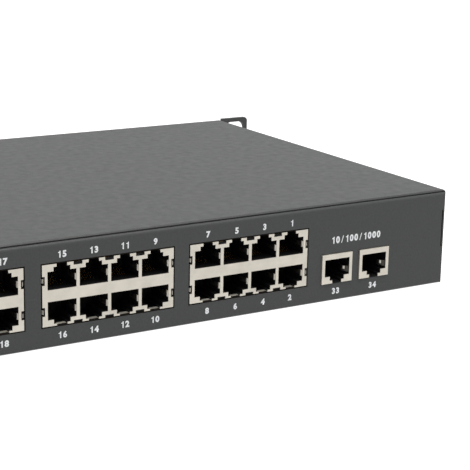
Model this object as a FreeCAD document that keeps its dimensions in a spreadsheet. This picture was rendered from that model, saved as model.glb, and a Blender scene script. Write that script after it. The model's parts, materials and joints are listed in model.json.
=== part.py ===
"""Rackmount network switch, 1U high for a 19 inch rack, in millimetres.

X runs along the width, the front with its lamps and rack ears faces -Y, the
sockets face +Y, and the flat bottom stands on Z = 0.
"""
import FreeCAD, Part
import math
import os
import re
import Sketcher
from FreeCAD import Placement, Rotation, Vector

doc = FreeCAD.newDocument("RackSwitch")
sheet = doc.addObject("Spreadsheet::Sheet", "Sizes")

# The dimensions: alias, value and what it sets. Text after an equals sign is worked out from the others.
SIZES = [
    ("case_width", 444.5, "outside of the cover's side walls"),
    ("case_depth", 200.0, "front wall to rear wall, outside"),
    ("case_height", 44.4, "one rack unit, less the play between units"),
    ("tray_sheet", 1.2, "steel of the tray"),
    ("cover_sheet", 0.8, "steel of the cover"),
    ("side_play", 0.1, "between the tray and the cover's side walls"),
    ("top_play", 0.35, "between the tray's top flanges and the cover"),
    ("tray_bend", 1.5, "outside radius of the tray's bends"),
    ("cover_bend", 1.8, "outside radius of the cover's side bends"),
    ("cover_edge", 0.5, "bevel of the cover's front and rear edges"),
    ("cover_setback", 1.0, "cover ends short of the rear face, over the tray's bend"),
    ("top_flange", 10.0, "depth of the flanges that carry the cover"),
    ("side_flange", 14.0, "height of the tray's side flanges"),
    ("flange_end", 8.0, "side flange's distance from each end wall"),
    ("tab_slot_width", 1.3, "slot in the rear wall's edge for the cover's tab"),
    ("tab_slot_low", 17.4, "lower end of that slot"),
    ("tab_slot_high", 35.0, "upper end of that slot"),
    ("bezel_depth", 4.0, "thickness of the front bezel"),
    ("bezel_inset", 0.8, "bezel's edge inside the case's outline"),
    ("bezel_round", 1.2, "rounding of the bezel's front edge"),
    ("lamp_pitch", 7.5, "spacing of the port lamps along the front"),
    ("lamp_row", 9.0, "spacing of the two rows of port lamps"),
    ("lamp_radius", 1.5, "radius of a light pipe"),
    ("lamp_fit", 0.1, "play of a light pipe in its hole"),
    ("lamp_inset", 32.25, "first column of port lamps from the case's left side"),
    ("lamp_start", "=lamp_inset - case_width / 2", "first column of port lamps"),
    ("lamp_height", 22.0, "middle of the two rows"),
    ("power_lamp_x", "=lamp_start - 2 * lamp_pitch", "place of the power lamp"),
    ("ear_sheet", 2.0, "steel of the rack ears"),
    ("ear_leg", 46.0, "ear's leg along the case's side"),
    ("ear_reach", 18.85, "each ear beyond the case's side"),
    ("ear_span", "=case_width + 2 * ear_reach", "width over both ears"),
    ("ear_lift", 0.4, "ear's lower edge above the bottom"),
    ("ear_corner", 2.0, "radius of the ear's outer corners"),
    ("ear_leg_low", 5.0, "lower edge of the ear's leg"),
    ("ear_leg_high", 39.0, "upper edge of the ear's leg"),
    ("rack_hole_inset", 8.55, "rack holes from the ear's outer edge"),
    ("rack_hole_span", "=ear_span - 2 * rack_hole_inset", "rack holes, left to right"),
    ("rack_hole_pitch", 31.75, "rack holes, low to high"),
    ("slot_radius", 4.1, "half the width of a rack slot"),
    ("slot_length", 13.0, "rack slot, end to end"),
    ("ear_screw_first", 14.0, "first ear screw behind the ear's face"),
    ("ear_screw_step", 22.0, "between the ear screws along the case"),
    ("ear_screw_low", 11.0, "lower ear screws"),
    ("ear_screw_rise", 22.0, "lower to upper ear screws"),
    ("vent_width", 2.4, "side vent slot"),
    ("vent_height", 9.5, "side vent slot"),
    ("vent_pitch", 5.0, "side vent slots"),
    ("vent_first", -55.0, "first vent slot along the side"),
    ("vent_low", 14.5, "lower end of the lower vent slots"),
    ("vent_rise", 11.5, "lower to upper row of vent slots"),
    ("screw_radius", 1.45, "M3 thread"),
    ("screw_fit", 0.1, "play round a screw"),
    ("screw_head", 2.8, "radius of a screw's head"),
    ("screw_head_height", 1.6, "height of a screw's head"),
    ("cover_screw_height", 8.0, "cover screws above the bottom"),
    ("cover_screw_reach", 5.0, "length of a cover or ear screw"),
    ("board_top", 8.4, "upper face of the main board"),
    ("board_sheet", 1.6, "thickness of every circuit board"),
    ("board_inset", 8.25, "main board's edge from the case's left side"),
    ("board_width", 334.0, "main board"),
    ("board_left", "=board_inset - case_width / 2", "main board's left edge"),
    ("board_right", "=board_left + board_width", "main board's right edge"),
    ("board_front", -72.0, "main board's front edge"),
    ("board_wall_gap", 0.6, "main board to the rear wall"),
    ("standoff_radius", 3.0, "hexagon standoffs, across the flats / 2"),
    ("port_width", 12.55, "port opening, main part"),
    ("port_divider", 1.42, "between the ports in a row"),
    ("port_pitch", "=port_width + port_divider", "middle to middle of the ports in a row"),
    ("block_side", 1.56, "outer half divider and wall of a port block"),
    ("block_width", "=4 * port_pitch + 2 * block_side", "outside of a port block's shield"),
    ("block_gap", 7.9, "between the port blocks"),
    ("block_pitch", "=block_width + block_gap", "middle to middle of the port blocks"),
    ("block_inset", 106.55, "first port block's middle from the case's left side"),
    ("block_first", "=block_inset - case_width / 2", "middle of the first port block"),
    ("block_axis", 21.6, "height of every port block's middle"),
    ("block_below", 12.5, "shield below the block's middle"),
    ("block_above", 12.9, "shield above the block's middle"),
    ("block_depth", 25.0, "depth of a port block"),
    ("block_play", 0.6, "panel cut-out round a port block"),
    ("shield_sheet", 0.3, "sheet of the shields"),
    ("port_inner", 2.4, "opening's edge nearest the block's middle"),
    ("port_main", 9.95, "opening's main part ends"),
    ("port_step_width", 7.3, "opening's stepped part"),
    ("port_step", 11.7, "opening's stepped part ends"),
    ("latch_width", 4.6, "slot for the plug's latch"),
    ("latch_end", 12.6, "latch slot ends in the housing and shield"),
    ("port_depth", 14.5, "depth of a port"),
    ("divider_notch_width", 3.9, "notch in the shield over a divider"),
    ("divider_notch_depth", 1.1, "the same, depth"),
    ("side_notch_low", 4.5, "notch in the shield's side, from the middle"),
    ("side_notch_high", 8.2, "the same, far end"),
    ("side_notch_depth", 1.1, "the same, depth"),
    ("side_notch_reach", 5.0, "the same, back from the shield's face"),
    ("edge_notch_reach", 1.5, "notches in the shield's upper and lower edges, back from its face"),
    ("jack_inset", 61.05, "first single jack's middle from the case's left side"),
    ("jack_first", "=jack_inset - case_width / 2", "middle of the first single jack"),
    ("jack_pitch", -20.3, "first to second single jack"),
    ("jack_width", 16.2, "outside of a single jack's shield"),
    ("jack_height", 13.3, "the same, height"),
    ("jack_depth", 18.0, "the same, depth behind the panel"),
    ("jack_proud", 0.6, "single jack's face in front of the panel"),
    ("jack_play", 0.3, "panel cut-out round a single jack"),
    ("jack_top_bar", 2.35, "top of the jack to its opening"),
    ("jack_main", 7.8, "jack opening's main part, height"),
    ("jack_open_width", 13.15, "jack opening's main part, width"),
    ("jack_step_width", 7.7, "jack opening's stepped part"),
    ("jack_step", 1.8, "the same, height"),
    ("jack_latch_width", 4.85, "jack opening's latch slot"),
    ("contact_pitch", 1.02, "between contacts in a port"),
    ("contact_width", 0.4, "contact wire"),
    ("contact_start", 7.0, "contacts begin behind the port's face"),
    ("contact_run", 6.5, "length of a contact's slope"),
    ("contact_rise", 3.4, "height of a contact's slope"),
    ("magnetics_width", 27.0, "isolation transformer package"),
    ("magnetics_depth", 15.0, "the same, depth"),
    ("magnetics_height", 6.0, "the same, height"),
    ("chip_height", 2.2, "height of the chips"),
    ("phy_size", 24.0, "port driver chip"),
    ("switch_chip_size", 31.0, "switching chip"),
    ("sink_base", 2.5, "heat sink's base plate"),
    ("sink_height", 13.0, "heat sink, over its fins"),
    ("fin_sheet", 1.2, "heat sink's fins"),
    ("fin_pitch", 4.0, "between the fins"),
    ("power_inset", 28.25, "power board's edge from the case's right side"),
    ("power_width", 64.0, "power board"),
    ("power_right", "=case_width / 2 - power_inset", "power board's right edge"),
    ("power_left", "=power_right - power_width", "power board's left edge"),
    ("power_front", -42.0, "power board's front edge"),
    ("power_rear", 66.0, "power board's rear edge"),
    ("sheet_gap", 0.8, "insulating sheet"),
    ("inlet_inset", 34.25, "inlet's middle from the case's right side"),
    ("inlet_x", "=case_width / 2 - inlet_inset", "middle of the power inlet"),
    ("inlet_flange_width", 50.0, "inlet's flange"),
    ("inlet_flange_height", 24.0, "the same, height"),
    ("inlet_flange_sheet", 3.0, "the same, thickness"),
    ("inlet_corner", 3.0, "the same, corner radius"),
    ("inlet_body_width", 28.0, "inlet's body behind the panel"),
    ("inlet_body_height", 20.0, "the same, height"),
    ("inlet_body_depth", 20.0, "the same, depth"),
    ("inlet_socket_width", 24.6, "socket for the mains plug"),
    ("inlet_socket_height", 16.6, "the same, height"),
    ("inlet_socket_depth", 19.0, "the same, depth from the flange's face"),
    ("inlet_screw_span", 40.0, "between the inlet's two screws"),
    ("inlet_play", 0.3, "panel cut-out round the inlet and the rocker"),
    ("pin_width", 2.0, "mains pin"),
    ("pin_height", 4.0, "mains pin"),
    ("pin_length", 16.0, "mains pin in the socket"),
    ("pin_spread", 7.0, "live and neutral pins from the middle"),
    ("rocker_inset", 76.25, "rocker switch's middle from the case's right side"),
    ("rocker_x", "=case_width / 2 - rocker_inset", "middle of the rocker switch"),
    ("rocker_frame_width", 15.0, "rocker's frame"),
    ("rocker_frame_height", 21.0, "the same, height"),
    ("rocker_frame_lip", 1.8, "frame's lip on the panel"),
    ("rocker_width", 10.0, "rocker"),
    ("rocker_height", 15.6, "rocker"),
    ("rocker_play", 0.4, "round the rocker in its frame"),
    ("rocker_tilt", 8.0, "rocker's tilt each way, degrees"),
    ("rocker_pivot", 4.0, "rocker's pivot behind the panel"),
    ("rocker_end_play", 0.7, "rocker's ends short of its height, for the tilt"),
    ("trunnion_radius", 1.2, "rocker's pivot pins"),
    ("trunnion_fit", 0.05, "play of the pivot pins in the frame"),
    ("trunnion_reach", 0.9, "pins beyond the rocker's sides"),
    ("fan_size", 40.0, "fan frame"),
    ("fan_depth", 20.0, "fan frame"),
    ("fan_wall", 1.25, "fan frame's wall, at its thinnest"),
    ("fan_bore", "=fan_size - 2 * fan_wall", "diameter of the fan's duct"),
    ("fan_tip_gap", 0.75, "blade tips to the duct"),
    ("fan_hub", 9.5, "radius of the rotor's hub"),
    ("fan_first", -35.0, "middle of the front fan along the case"),
    ("fan_step", 43.0, "front fan to rear fan"),
    ("fan_axis_z", 21.9, "height of the fans' axis"),
    ("ground_inset", 99.75, "grounding screw from the case's right side"),
    ("ground_x", "=case_width / 2 - ground_inset", "grounding screw"),
    ("ground_z", 12.0, "grounding screw"),
]

for row, (alias, value, note) in enumerate(SIZES, 1):
    sheet.set(f"A{row}", alias)
    sheet.set(f"B{row}", str(value))
    sheet.set(f"C{row}", note)
    sheet.setAlias(f"B{row}", alias)
doc.recompute()

ALIASES = {alias for alias, value, note in SIZES}

BLOCK_PORTS = 4
BLOCKS = ["1_8", "9_16", "17_24", "25_32"]
JACKS = ["33", "34"]
FANS = ["front", "rear"]
CONTACTS = 8
LAMP_COLUMNS = 17
VENTS = 20
BLADES = 7

# Places that several pieces share, as expressions of the sheet's values.
REAR = "case_depth / 2"
FRONT = "-case_depth / 2"
TRAY_SIDE = "(case_width / 2 - cover_sheet - side_play)"
WALL_TOP = "(case_height - cover_sheet - top_play)"
COVER_UNDER = "(case_height - cover_sheet)"
BOARD_UNDER = "(board_top - board_sheet)"
HOLE = "(screw_radius + screw_fit)"
EAR_FACE = f"({FRONT} - bezel_depth)"


def bound(text):
    """The expression with every alias looked up in the sheet."""
    return re.sub(r"[a-z_]+", lambda m: "Sizes." + m[0] if m[0] in ALIASES else m[0], str(text))


def number(text):
    """The expression's present value."""
    found = sheet.evalExpression(bound(text))
    return float(getattr(found, "Value", found))


def bind(thing, prop, text):
    thing.setExpression(prop, bound(text))


def place(thing, at, turn=None):
    """Put a thing at three expressions, turned by a fixed rotation."""
    if turn is not None:
        thing.Placement = Placement(Vector(), turn)
    for axis, text in zip("xyz", at):
        bind(thing, f"Placement.Base.{axis}", text)


# ---------------------------------------------------------------- primitives

ALONG = {
    "x": Rotation(Vector(0, 1, 0), 90),
    "y": Rotation(Vector(1, 0, 0), -90),
    "z": Rotation(),
}


def box(name, low, high):
    """A box between two corners."""
    made = doc.addObject("Part::Box", name)
    for side, start, end in zip(("Length", "Width", "Height"), low, high):
        bind(made, side, f"({end}) - ({start})")
    place(made, low)
    return made


def rod(name, axis, at, radius, length):
    """A cylinder that starts at a point and runs along +X, +Y or +Z."""
    made = doc.addObject("Part::Cylinder", name)
    bind(made, "Radius", radius)
    bind(made, "Height", length)
    place(made, at, ALONG[axis])
    return made


def joined(label, pieces):
    """One solid from several that touch or overlap."""
    made = doc.addObject("Part::MultiFuse", label)
    made.Shapes = pieces
    return made


def minus(label, base, tools):
    """The base with the tools cut away."""
    made = doc.addObject("Part::Cut", label)
    made.Base = base
    made.Tool = tools[0] if len(tools) == 1 else joined(label + "_tools", tools)
    return made


def group(label, pieces):
    """Separate solids kept as one node."""
    made = doc.addObject("Part::Compound", label)
    made.Links = pieces
    return made


def shifted(at, axis, by):
    """A place moved along one axis."""
    return tuple(f"{text} + ({by})" if letter == axis else text for letter, text in zip("xyz", at))


def screw(name, axis, at, length, inward=1):
    """A pan head screw: at is where the head's under side seats."""
    back = "0" if inward > 0 else f"-({length})"
    head = "-screw_head_height" if inward > 0 else "0"
    shank = rod(name + "_shank", axis, shifted(at, axis, back), "screw_radius", length)
    cap = rod(name + "_head", axis, shifted(at, axis, head), "screw_head", "screw_head_height")
    return joined(name, [shank, cap])


# ------------------------------------------------------------ PartDesign aids

def new_body(label):
    made = doc.addObject("PartDesign::Body", label)
    made.Label = label
    made.AllowCompound = True
    return made


def plane(body, role):
    return next(o for o in body.Origin.OriginFeatures if o.Role == role)


def draw(body, name, role, outlines, offset=None):
    """A sketch of closed outlines, each corner pinned by two expressions."""
    sketch = body.newObject("Sketcher::SketchObject", name)
    sketch.AttachmentSupport = [(plane(body, role), "")]
    sketch.MapMode = "FlatFace"
    if offset is not None:
        bind(sketch, "AttachmentOffset.Base.z", offset)
    for outline in outlines:
        first = sketch.GeometryCount
        spots = [Vector(number(u), number(v), 0) for u, v in outline]
        for start, end in zip(spots, spots[1:] + spots[:1]):
            sketch.addGeometry(Part.LineSegment(start, end), False)
        count = len(outline)
        for i in range(count):
            sketch.addConstraint(Sketcher.Constraint("Coincident", first + i, 2, first + (i + 1) % count, 1))
        for i, (pair, spot) in enumerate(zip(outline, spots)):
            for kind, text, value in zip(("DistanceX", "DistanceY"), pair, spot):
                pin = sketch.addConstraint(Sketcher.Constraint(kind, -1, 1, first + i, 1, value))
                bind(sketch, f"Constraints[{pin}]", text)
    return sketch


def draw_circles(body, name, role, circles, offset=None):
    """A sketch of circles, each given by its middle and radius."""
    sketch = body.newObject("Sketcher::SketchObject", name)
    sketch.AttachmentSupport = [(plane(body, role), "")]
    sketch.MapMode = "FlatFace"
    if offset is not None:
        bind(sketch, "AttachmentOffset.Base.z", offset)
    for u, v, radius in circles:
        spot = Vector(number(u), number(v), 0)
        ring = sketch.addGeometry(Part.Circle(spot, Vector(0, 0, 1), number(radius)), False)
        for kind, text, value in (("DistanceX", u, spot.x), ("DistanceY", v, spot.y)):
            pin = sketch.addConstraint(Sketcher.Constraint(kind, -1, 1, ring, 3, value))
            bind(sketch, f"Constraints[{pin}]", text)
        pin = sketch.addConstraint(Sketcher.Constraint("Radius", ring, number(radius)))
        bind(sketch, f"Constraints[{pin}]", radius)
    return sketch


def rectangle(left, right, low, high):
    return [(left, low), (right, low), (right, high), (left, high)]


def pad(body, sketch, length, reverse=False, both=False):
    made = body.newObject("PartDesign::Pad", sketch.Name + "_pad")
    made.Profile = sketch
    bind(made, "Length", length)
    made.Reversed = reverse
    made.Midplane = both
    doc.recompute()
    return made


def pocket(body, sketch, length=None, reverse=False, both=False):
    """Cuts a sketch's outlines away, and stops the build if nothing was cut."""
    before = body.Shape.Volume
    made = body.newObject("PartDesign::Pocket", sketch.Name + "_pocket")
    made.Profile = sketch
    made.Reversed = reverse
    made.Midplane = both
    if length is None:
        made.Type = 1
    else:
        bind(made, "Length", length)
    doc.recompute()
    if body.Shape.Volume > before - 0.01:
        raise RuntimeError(f"{made.Name} cut nothing")
    return made


def in_a_row(body, feature, role, step, count):
    """Repeats a feature along one of the body's axes."""
    made = body.newObject("PartDesign::LinearPattern", feature.Name + "_row")
    made.Originals = [feature]
    made.Direction = (plane(body, role), [""])
    made.Occurrences = count
    bind(made, "Length", f"({step}) * {count - 1}")
    body.Tip = made
    doc.recompute()
    return made


def round_edges(body, radius, wanted):
    """A fillet on the edges that the test picks."""
    base = body.Tip
    names = [f"Edge{i}" for i, edge in enumerate(base.Shape.Edges, 1) if wanted(edge)]
    made = body.newObject("PartDesign::Fillet", f"{body.Name}_round_{len(body.Group)}")
    made.Base = (base, names)
    bind(made, "Radius", radius)
    doc.recompute()
    return made


def edge_runs(edge, axis, **places):
    """True for a straight edge along an axis whose other coordinates have the given sizes."""
    if edge.Curve.TypeId != "Part::GeomLine":
        return False
    along = {"x": Vector(1, 0, 0), "y": Vector(0, 1, 0), "z": Vector(0, 0, 1)}[axis]
    if abs(edge.tangentAt(edge.FirstParameter).dot(along)) < 0.999:
        return False
    middle = edge.BoundBox.Center
    return all(abs(getattr(middle, key) - value) < 0.02 for key, value in places.items())


# ----------------------------------------------------------------- sheet metal

def panel_cutouts():
    """Outlines in the rear wall, seen along +Y, as left, right, low, high."""
    outlines = []
    for i in range(len(BLOCKS)):
        middle = f"block_first + block_pitch * {i}"
        reach = "(block_width / 2 + block_play)"
        outlines.append(rectangle(
            f"{middle} - {reach}", f"{middle} + {reach}",
            "block_axis - block_below - block_play", "block_axis + block_above + block_play",
        ))
    for i in range(len(JACKS)):
        middle = f"jack_first + jack_pitch * {i}"
        reach = "(jack_width / 2 + jack_play)"
        outlines.append(rectangle(
            f"{middle} - {reach}", f"{middle} + {reach}",
            "board_top - jack_play", "board_top + jack_height + jack_play",
        ))
    for x, wide, tall in (
        ("inlet_x", "inlet_body_width", "inlet_body_height"),
        ("rocker_x", "(rocker_frame_width - 2)", "(rocker_frame_height - 2)"),
    ):
        outlines.append(rectangle(
            f"{x} - {wide} / 2 - inlet_play", f"{x} + {wide} / 2 + inlet_play",
            f"block_axis - {tall} / 2 - inlet_play", f"block_axis + {tall} / 2 + inlet_play",
        ))
    for side in (-1, 1):
        edge = f"{side} * {TRAY_SIDE}"
        inner = f"{side} * ({TRAY_SIDE} - tab_slot_width)"
        outer = f"{edge} + {side}"
        left, right = (outer, inner) if side < 0 else (inner, outer)
        outlines.append(rectangle(left, right, "tab_slot_low", "tab_slot_high"))
    return outlines


def cover_screw_places():
    """Along Y, the three screws that hold each side of the cover, the first clear of the rear fan's."""
    first = "(fan_first + fan_step - fan_size / 2 + 12)"
    return [first] + [f"{share} * (case_depth / 2 - flange_end - 8)" for share in (0.45, 0.9)]


def ear_screw_places():
    """Along Y and Z, the four screws of an ear."""
    return [
        (f"{EAR_FACE} + ear_screw_first + ear_screw_step * {i}", f"ear_screw_low + ear_screw_rise * {k}")
        for i in range(2) for k in range(2)
    ]


def fan_screw_places(index):
    """Along Y and Z, the four corner screws of a fan."""
    reach = "(fan_size / 2 - 4)"
    return [(f"fan_first + fan_step * {index} + {a} * {reach}", f"fan_axis_z + {b} * {reach}")
            for a in (-1, 1) for b in (-1, 1)]


def fan_screw_holes(low_only=False):
    """Holes for both fans' screws; the tray's flange reaches only the lower ones."""
    return [(y, z, HOLE) for index in range(len(FANS)) for y, z in fan_screw_places(index)
            if not (low_only and "+ 1 *" in z)]


def make_tray():
    body = new_body("base_tray")
    profile = [
        (FRONT, "0"), (REAR, "0"), (REAR, WALL_TOP), (f"{REAR} - top_flange", WALL_TOP),
        (f"{REAR} - top_flange", f"{WALL_TOP} - tray_sheet"),
        (f"{REAR} - tray_sheet", f"{WALL_TOP} - tray_sheet"), (f"{REAR} - tray_sheet", "tray_sheet"),
        (f"{FRONT} + tray_sheet", "tray_sheet"), (f"{FRONT} + tray_sheet", f"{WALL_TOP} - tray_sheet"),
        (f"{FRONT} + top_flange", f"{WALL_TOP} - tray_sheet"), (f"{FRONT} + top_flange", WALL_TOP),
        (FRONT, WALL_TOP),
    ]
    pad(body, draw(body, "tray_profile", "YZ_Plane", [profile]), f"2 * {TRAY_SIDE}", both=True)
    low, high = f"{FRONT} + flange_end", f"{REAR} - flange_end"
    sides = [
        rectangle(f"-{TRAY_SIDE}", f"-{TRAY_SIDE} + tray_sheet", low, high),
        rectangle(f"{TRAY_SIDE} - tray_sheet", TRAY_SIDE, low, high),
    ]
    pad(body, draw(body, "tray_side_flanges", "XY_Plane", sides), "side_flange")
    pocket(body, draw(body, "rear_cutouts", "XZ_Plane", panel_cutouts()))
    holes = [(f"inlet_x + {side} * inlet_screw_span / 2", "block_axis", HOLE) for side in (-1, 1)]
    holes.append(("ground_x", "ground_z", HOLE))
    pocket(body, draw_circles(body, "rear_screw_holes", "XZ_Plane", holes))
    lamps = [
        rectangle("lamp_start - lamp_pitch", f"lamp_start + lamp_pitch * {LAMP_COLUMNS}",
                  "lamp_height - lamp_row", "lamp_height + lamp_row"),
        rectangle("power_lamp_x - 3", "power_lamp_x + 3", "lamp_height - 3", "lamp_height + 3"),
    ]
    pocket(body, draw(body, "lamp_windows", "XZ_Plane", lamps), reverse=True)
    side_holes = [(y, "cover_screw_height", HOLE) for y in cover_screw_places()]
    side_holes += [(y, z, HOLE) for y, z in ear_screw_places() if "* 0" in z]
    pocket(body, draw_circles(body, "side_screw_holes", "YZ_Plane", side_holes), both=True)
    fan_holes = draw_circles(body, "tray_fan_holes", "YZ_Plane", fan_screw_holes(low_only=True))
    pocket(body, fan_holes, reverse=True)
    corners = [(y, z) for y in (number(FRONT), number(REAR)) for z in (0, number(WALL_TOP))]
    round_edges(body, "tray_bend", lambda e: any(edge_runs(e, "x", y=y, z=z) for y, z in corners))
    return body


def make_cover():
    body = new_body("top_cover")
    side, inside = "case_width / 2", "(case_width / 2 - cover_sheet)"
    profile = [
        (f"-{side}", "0"), (f"-{inside}", "0"), (f"-{inside}", COVER_UNDER), (inside, COVER_UNDER),
        (inside, "0"), (side, "0"), (side, "case_height"), (f"-{side}", "case_height"),
    ]
    pad(body, draw(body, "cover_profile", "XZ_Plane", [profile]), "case_depth", both=True)
    slots = [
        rectangle("vent_first", "vent_first + vent_width", f"vent_low + vent_rise * {i}",
                  f"vent_low + vent_rise * {i} + vent_height")
        for i in range(2)
    ]
    vents = pocket(body, draw(body, "side_vents", "YZ_Plane", slots), both=True)
    in_a_row(body, vents, "Y_Axis", "vent_pitch", VENTS)
    holes = [(y, "cover_screw_height", HOLE) for y in cover_screw_places()]
    holes += [(y, z, HOLE) for y, z in ear_screw_places()]
    pocket(body, draw_circles(body, "cover_screw_holes", "YZ_Plane", holes), both=True)
    pocket(body, draw_circles(body, "cover_fan_holes", "YZ_Plane", fan_screw_holes()), reverse=True)
    half = number(side)
    top = number("case_height")
    round_edges(body, "cover_bend", lambda e: any(edge_runs(e, "y", x=x, z=top) for x in (-half, half)))
    bevels = []
    for side, y in ((-1, FRONT), (1, f"({REAR} - cover_setback)")):
        bevels.append([
            (y, "case_height - cover_edge"), (f"{y} + {side}", "case_height - cover_edge"),
            (f"{y} + {side}", "case_height + 1"), (f"{y} - {side} * cover_edge", "case_height + 1"),
            (f"{y} - {side} * cover_edge", "case_height"),
        ])
    pocket(body, draw(body, "cover_bevels", "YZ_Plane", bevels), both=True)
    setback = rectangle(f"{REAR} - cover_setback", f"{REAR} + 1", "-1", "case_height + 1")
    pocket(body, draw(body, "cover_rear_setback", "YZ_Plane", [setback]), both=True)
    return body


def make_bezel():
    """The plain front bezel with its rows of lamp holes."""
    body = new_body("front_panel")
    half = "(case_width / 2 - bezel_inset)"
    face = rectangle(f"-{half}", half, "bezel_inset", "case_height - bezel_inset")
    pad(body, draw(body, "bezel_face", "XZ_Plane", [face], offset="case_depth / 2"), "bezel_depth")
    reach = "lamp_radius + lamp_fit"
    first = [("lamp_start", f"lamp_height + {side} * lamp_row / 2", reach) for side in (-1, 1)]
    lamps = pocket(body, draw_circles(body, "lamp_holes", "XZ_Plane", first), reverse=True)
    in_a_row(body, lamps, "X_Axis", "lamp_pitch", LAMP_COLUMNS)
    pocket(body, draw_circles(body, "power_lamp_hole", "XZ_Plane", [("power_lamp_x", "lamp_height", reach)]),
           reverse=True)
    front = number(EAR_FACE)
    round_edges(body, "bezel_round", lambda e: edge_runs(e, "x", y=front) or edge_runs(e, "z", y=front))
    return body


def make_ear(name, side):
    """An L bracket: a low leg on the case's side and a full-height slotted face for the rack's rail."""
    body = new_body(name)
    inner, outer = f"{side} * case_width / 2", f"{side} * ear_span / 2"
    leg = f"{side} * (case_width / 2 + ear_sheet)"
    outline = [
        (inner, EAR_FACE), (outer, EAR_FACE), (outer, f"{EAR_FACE} + ear_sheet"),
        (leg, f"{EAR_FACE} + ear_sheet"), (leg, f"{EAR_FACE} + ear_leg"), (inner, f"{EAR_FACE} + ear_leg"),
    ]
    sketch = draw(body, name + "_outline", "XY_Plane", [outline], offset="ear_leg_low")
    pad(body, sketch, "ear_leg_high - ear_leg_low")
    left, right = (outer, leg) if side < 0 else (leg, outer)
    face = rectangle(left, right, "ear_lift", "case_height")
    face_sketch = draw(body, name + "_face", "XZ_Plane", [face], offset=f"-{EAR_FACE} - ear_sheet")
    pad(body, face_sketch, "ear_sheet")
    middle = f"{side} * rack_hole_span / 2"
    straight = "(slot_length / 2 - slot_radius)"
    for i in (-1, 1):
        height = f"case_height / 2 + {i} * rack_hole_pitch / 2"
        slot = rectangle(f"{middle} - {straight}", f"{middle} + {straight}",
                         f"{height} - slot_radius", f"{height} + slot_radius")
        pocket(body, draw(body, f"{name}_slot_{i + 1}", "XZ_Plane", [slot]), reverse=True)
        for end in (-1, 1):
            ends = [(f"{middle} + {end} * {straight}", height, "slot_radius")]
            rounds = draw_circles(body, f"{name}_slot_end_{i + 1}_{end + 1}", "XZ_Plane", ends)
            pocket(body, rounds, reverse=True)
    holes = [(y, z, HOLE) for y, z in ear_screw_places()]
    pocket(body, draw_circles(body, name + "_holes", "YZ_Plane", holes), both=True)
    tip = number(outer)
    round_edges(body, "ear_corner", lambda e: edge_runs(e, "y", x=tip))
    return body


def make_case_screws():
    cover, ears = [], []
    for side in (-1, 1):
        for i, y in enumerate(cover_screw_places()):
            at = (f"{side} * case_width / 2", y, "cover_screw_height")
            cover.append(screw(f"cover_screw_{side + 1}_{i}", "x", at, "cover_screw_reach", -side))
        for i, (y, z) in enumerate(ear_screw_places()):
            at = (f"{side} * (case_width / 2 + ear_sheet)", y, z)
            ears.append(screw(f"ear_screw_{side + 1}_{i}", "x", at, "cover_screw_reach", -side))
    return [group("cover_screws", cover), group("ear_screws", ears)]


# --------------------------------------------------------------- port blocks

def port_outline(up):
    """The stepped opening of a row's first port, about its block's middle."""
    x = "(-port_pitch * 1.5)"
    side = "" if up else "-"
    steps = [("port_width / 2", "port_inner", "port_main"), ("port_step_width / 2", "port_main", "port_step"),
             ("latch_width / 2", "port_step", "latch_end")]
    right = []
    for half, low, high in steps:
        right += [(f"{x} + {half}", f"{side}{low}"), (f"{x} + {half}", f"{side}{high}")]
    left = []
    for half, low, high in reversed(steps):
        left += [(f"{x} - {half}", f"{side}{high}"), (f"{x} - {half}", f"{side}{low}")]
    return right + left


def make_block_housing(label, middle):
    """The plastic body of a stacked block of eight ports, with its eight hollows."""
    body = new_body("port_housing_" + label)
    half = "(block_width / 2 - shield_sheet)"
    outside = rectangle(f"-{half}", half, "-block_below + shield_sheet", "block_above - shield_sheet")
    sketch = draw(body, "housing_outline_" + label, "XZ_Plane", [outside], offset="shield_sheet")
    pad(body, sketch, "block_depth - 2 * shield_sheet")
    foot = rectangle(f"-{half} + 2", f"{half} - 2", "board_top - block_axis", "-block_below + shield_sheet")
    foot_sketch = draw(body, "housing_foot_" + label, "XZ_Plane", [foot], offset="3")
    pad(body, foot_sketch, "block_depth - 6")
    ports = draw(body, "housing_ports_" + label, "XZ_Plane", [port_outline(True), port_outline(False)],
                 offset="port_depth")
    hollows = pocket(body, ports)
    in_a_row(body, hollows, "X_Axis", "port_pitch", BLOCK_PORTS)
    place(body, (middle, REAR, "block_axis"))
    return body


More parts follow.
